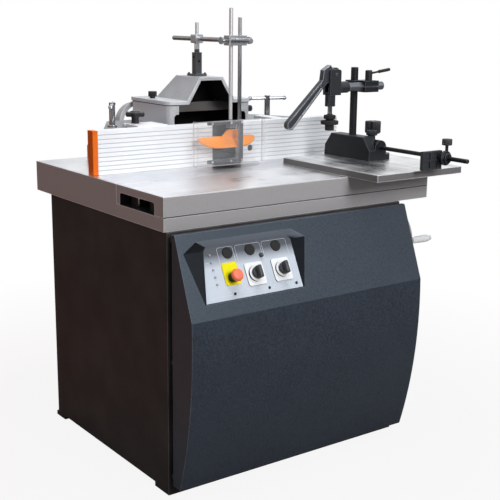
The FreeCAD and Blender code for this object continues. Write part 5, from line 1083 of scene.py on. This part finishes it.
# %% Pressure shoe
SHOE_MIDDLE = 0.035
SHOE_HALF = 0.113
SHOE_ROW_Y = 0.0265
SHOE_HALF_WIDTH = 0.0195
SHOE_TIP_SHARE = 0.2
SHOE_FRONT_Z, SHOE_FRONT_RISE = 0.9665, 0.026
SHOE_RIM_Z, SHOE_RIM_DROP = 0.999, 0.003
SHOE_SKIN = 0.005
SHOE_STATIONS = 24
SHOE_WEB = [(10, 986), (46, 1020), (83, 1020), (88, 1015), (91, 986)]
SHOE_WEB_Y = (0.036, 0.042)
SHOE_ROD_AT = (0.078, 0.015, 0.968)
SHOE_ROD_SEAT = [(0, 0), (9.5, 0), (9.5, 12), (8, 13.5), (0, 13.5)]
shoe = bmesh.new()
stations = []
for step in range(-SHOE_STATIONS, SHOE_STATIONS + 1):
    along = math.sin(math.pi / 2 * step / SHOE_STATIONS)
    width = SHOE_HALF_WIDTH * max(SHOE_TIP_SHARE, math.sqrt(max(0.0, 1 - along ** 8)))
    x = SHOE_MIDDLE + SHOE_HALF * along
    front = Vector((x, SHOE_ROW_Y - width, SHOE_FRONT_Z + SHOE_FRONT_RISE * along ** 4))
    back = Vector((x, SHOE_ROW_Y + width, SHOE_RIM_Z - SHOE_RIM_DROP * along ** 4))
    inward = (back - front).cross(Vector((1, 0, 0))).normalized() * SHOE_SKIN
    ring = (front, back, back + inward, front + inward)
    stations.append([shoe.verts.new(point) for point in ring])
for loop, following in zip(stations, stations[1:]):
    for i in range(4):
        shoe.faces.new((loop[i], loop[(i + 1) % 4], following[(i + 1) % 4], following[i]))
shoe.faces.new(stations[0])
shoe.faces.new(stations[-1])
plank(shoe, SHOE_WEB, *SHOE_WEB_Y)
lathe(shoe, SHOE_ROD_SEAT, SHOE_ROD_AT)
keep(
    shoe, "pressure_shoe_moulding", "shoe", "orange_plastic", "pressure_shoe", finish=shoe_finish,
)

# %% Guard bracket
BRACKET_OUTLINE = [
    (-60, 916), (82, 916), (82, 1052), (-60, 1052), (-60, 1043), (65, 1043), (65, 928), (-60, 928),
]
BRACKET_Y = (-0.003, 0.002)
BOSS_OUTLINE = [(30, 1028), (54, 1028), (54, 1052), (30, 1052)]
BOSS_Y = (0.0012, 0.027)
VISOR_ROD_FOOT = (0.042, 0.015, 1.040)
bracket = bmesh.new()
plank(bracket, BRACKET_OUTLINE, *BRACKET_Y)
plank(bracket, BOSS_OUTLINE, *BOSS_Y, easing=0.003)
lathe(bracket, drawn_bar(6.5, 378), VISOR_ROD_FOOT)
keep(
    bracket, "visor_bracket_frame", "visor", "rod_chrome", "visor_bracket", finish=bracket_finish,
)

# %% [markdown]
# ## Wing nuts and end stop
# Two wing nuts pinch the upright rods in their clamp. A wing is a knob head with only two lobes,
# so the knob helper draws it. In the rails' tunnel a small steel block ends the slide's travel,
# and a cube with its edges eased is enough for that.

# %% Wing nuts on the rod clamp
ROD_ROW_Y = 0.015
GUARD_ARM_Z = 1.314
WING_REACH = 0.0535
wings = bmesh.new()
for side in (-1, 1):
    lobed(
        wings, radius=17, height=5, lobes=2, dip=11, rounding=1.6, axis=(side, 0, 0),
        place=(POST_AT[0] + side * WING_REACH, ROD_ROW_Y, GUARD_ARM_Z), points_per_lobe=16,
    )
keep(wings, "rod_clamp_wings", "guard_arm", "rod_chrome")

# %% End stop in the rails' tunnel
END_STOP_SIZE = (0.020, 0.010, 0.027)
END_STOP_MIDDLE = (-0.420, -0.1882, 0.8565)
END_STOP_EASING = 0.0015
stop = bmesh.new()
block(stop, END_STOP_SIZE, END_STOP_MIDDLE)
ease(stop, stop.edges[:], END_STOP_EASING, 2)
keep(stop, "slide_end_stop", "frame", "ground_steel")

# %% [markdown]
# ## Lift screw
# Inside the cabinet the spindle is raised by a screw with a square-shouldered thread of one
# start. A single tooth's outline is spun and raised by one pitch each turn, so its turns meet and
# can be merged.

# %% Thread, collar and bevel wheel
SCREW_FOOT = (0.195, 0.097, 0.335)
THREAD_FROM = (0.195, 0.097, 0.338)
THREAD_PITCH = 0.005
THREAD_TURNS = 45
STEPS_PER_TURN = 24
TOOTH = [(6.6, 0.0), (6.6, 1.9), (8.9, 2.4), (8.9, 4.5), (6.6, 5.0)]
SCREW_TIP = [(0, 0), (5.4, 0), (6.9, 1.5), (6.9, 9), (0, 9)]
SCREW_HEAD = [
    (0, 225.7), (14, 225.7), (15, 226.7), (15, 238.7), (14, 239.7), (10, 239.7), (10, 285),
    (39.7, 285), (21.7, 303), (0, 303),
]
thread = bmesh.new()
bmesh.ops.spin(
    thread, geom=half_profile(thread, TOOTH), cent=(0, 0, 0), axis=(0, 0, 1),
    dvec=(0, 0, THREAD_PITCH / STEPS_PER_TURN), angle=2 * math.pi * THREAD_TURNS,
    steps=STEPS_PER_TURN * THREAD_TURNS,
)
bmesh.ops.remove_doubles(thread, verts=thread.verts, dist=1e-5)
bmesh.ops.holes_fill(thread, edges=[edge for edge in thread.edges if edge.is_boundary])
bmesh.ops.translate(thread, verts=thread.verts, vec=THREAD_FROM)
lathe(thread, SCREW_TIP, SCREW_FOOT)
lathe(thread, SCREW_HEAD, SCREW_FOOT)
keep(thread, "lift_screw_thread", "lift_screw", "ground_steel", "lift_screw")

# %% [markdown]
# ## Roller chain
# The handwheel drives the cross shaft by a roller chain inside the cabinet. Each link is two
# waisted side plates and a roller, stepped round the two sprockets at one pitch.

# %% Chain links
CHAIN_X, CHAIN_Z = 0.409, 0.660
CHAIN_NEAR, CHAIN_FAR = -0.283, 0.097
CHAIN_RADIUS = 0.0318
LINKS = 76
ROLLER = [(0, -3.2), (3, -3.2), (3, 3.2), (0, 3.2)]
ROLLER_STEPS = 10
PLATE_SPREADS = (0.0034, 0.0024)
LINK_PLATE = dict(radius=9.2, height=0.8, lobes=2, dip=6.4, rounding=0.2)
straight = CHAIN_FAR - CHAIN_NEAR
half_turn = math.pi * CHAIN_RADIUS
pitch = 2 * (straight + half_turn) / LINKS


def chain_spot(run):
    """The point and the heading at a distance along the chain."""
    if run < straight:
        return Vector((CHAIN_X, CHAIN_NEAR + run, CHAIN_Z + CHAIN_RADIUS)), 0.0
    run -= straight
    if half_turn <= run < half_turn + straight:
        return Vector((CHAIN_X, CHAIN_FAR - run + half_turn, CHAIN_Z - CHAIN_RADIUS)), math.pi
    wheel_y = CHAIN_FAR
    if run >= half_turn:
        wheel_y = CHAIN_NEAR
        run -= straight
    angle = run / CHAIN_RADIUS
    rim = Vector((0.0, math.sin(angle), math.cos(angle))) * CHAIN_RADIUS
    return Vector((CHAIN_X, wheel_y, CHAIN_Z)) + rim, -angle


chain = bmesh.new()
for step in range(LINKS):
    spot, heading = chain_spot((step + 0.5) * pitch)
    along = Vector((0, math.cos(heading), math.sin(heading)))
    lathe(chain, ROLLER, spot - along * pitch / 2, (1, 0, 0), ROLLER_STEPS)
    for side in (-1, 1):
        before = set(chain.verts)
        plate_at = spot + Vector((side * PLATE_SPREADS[step % 2], 0, 0))
        lobed(chain, place=plate_at, axis=(1, 0, 0), **LINK_PLATE)
        plate = [vert for vert in chain.verts if vert not in before]
        bmesh.ops.rotate(chain, verts=plate, cent=spot, matrix=Matrix.Rotation(heading, 3, "X"))
keep(chain, "lift_chain_links", "frame", "chain_steel", "lift_chain")
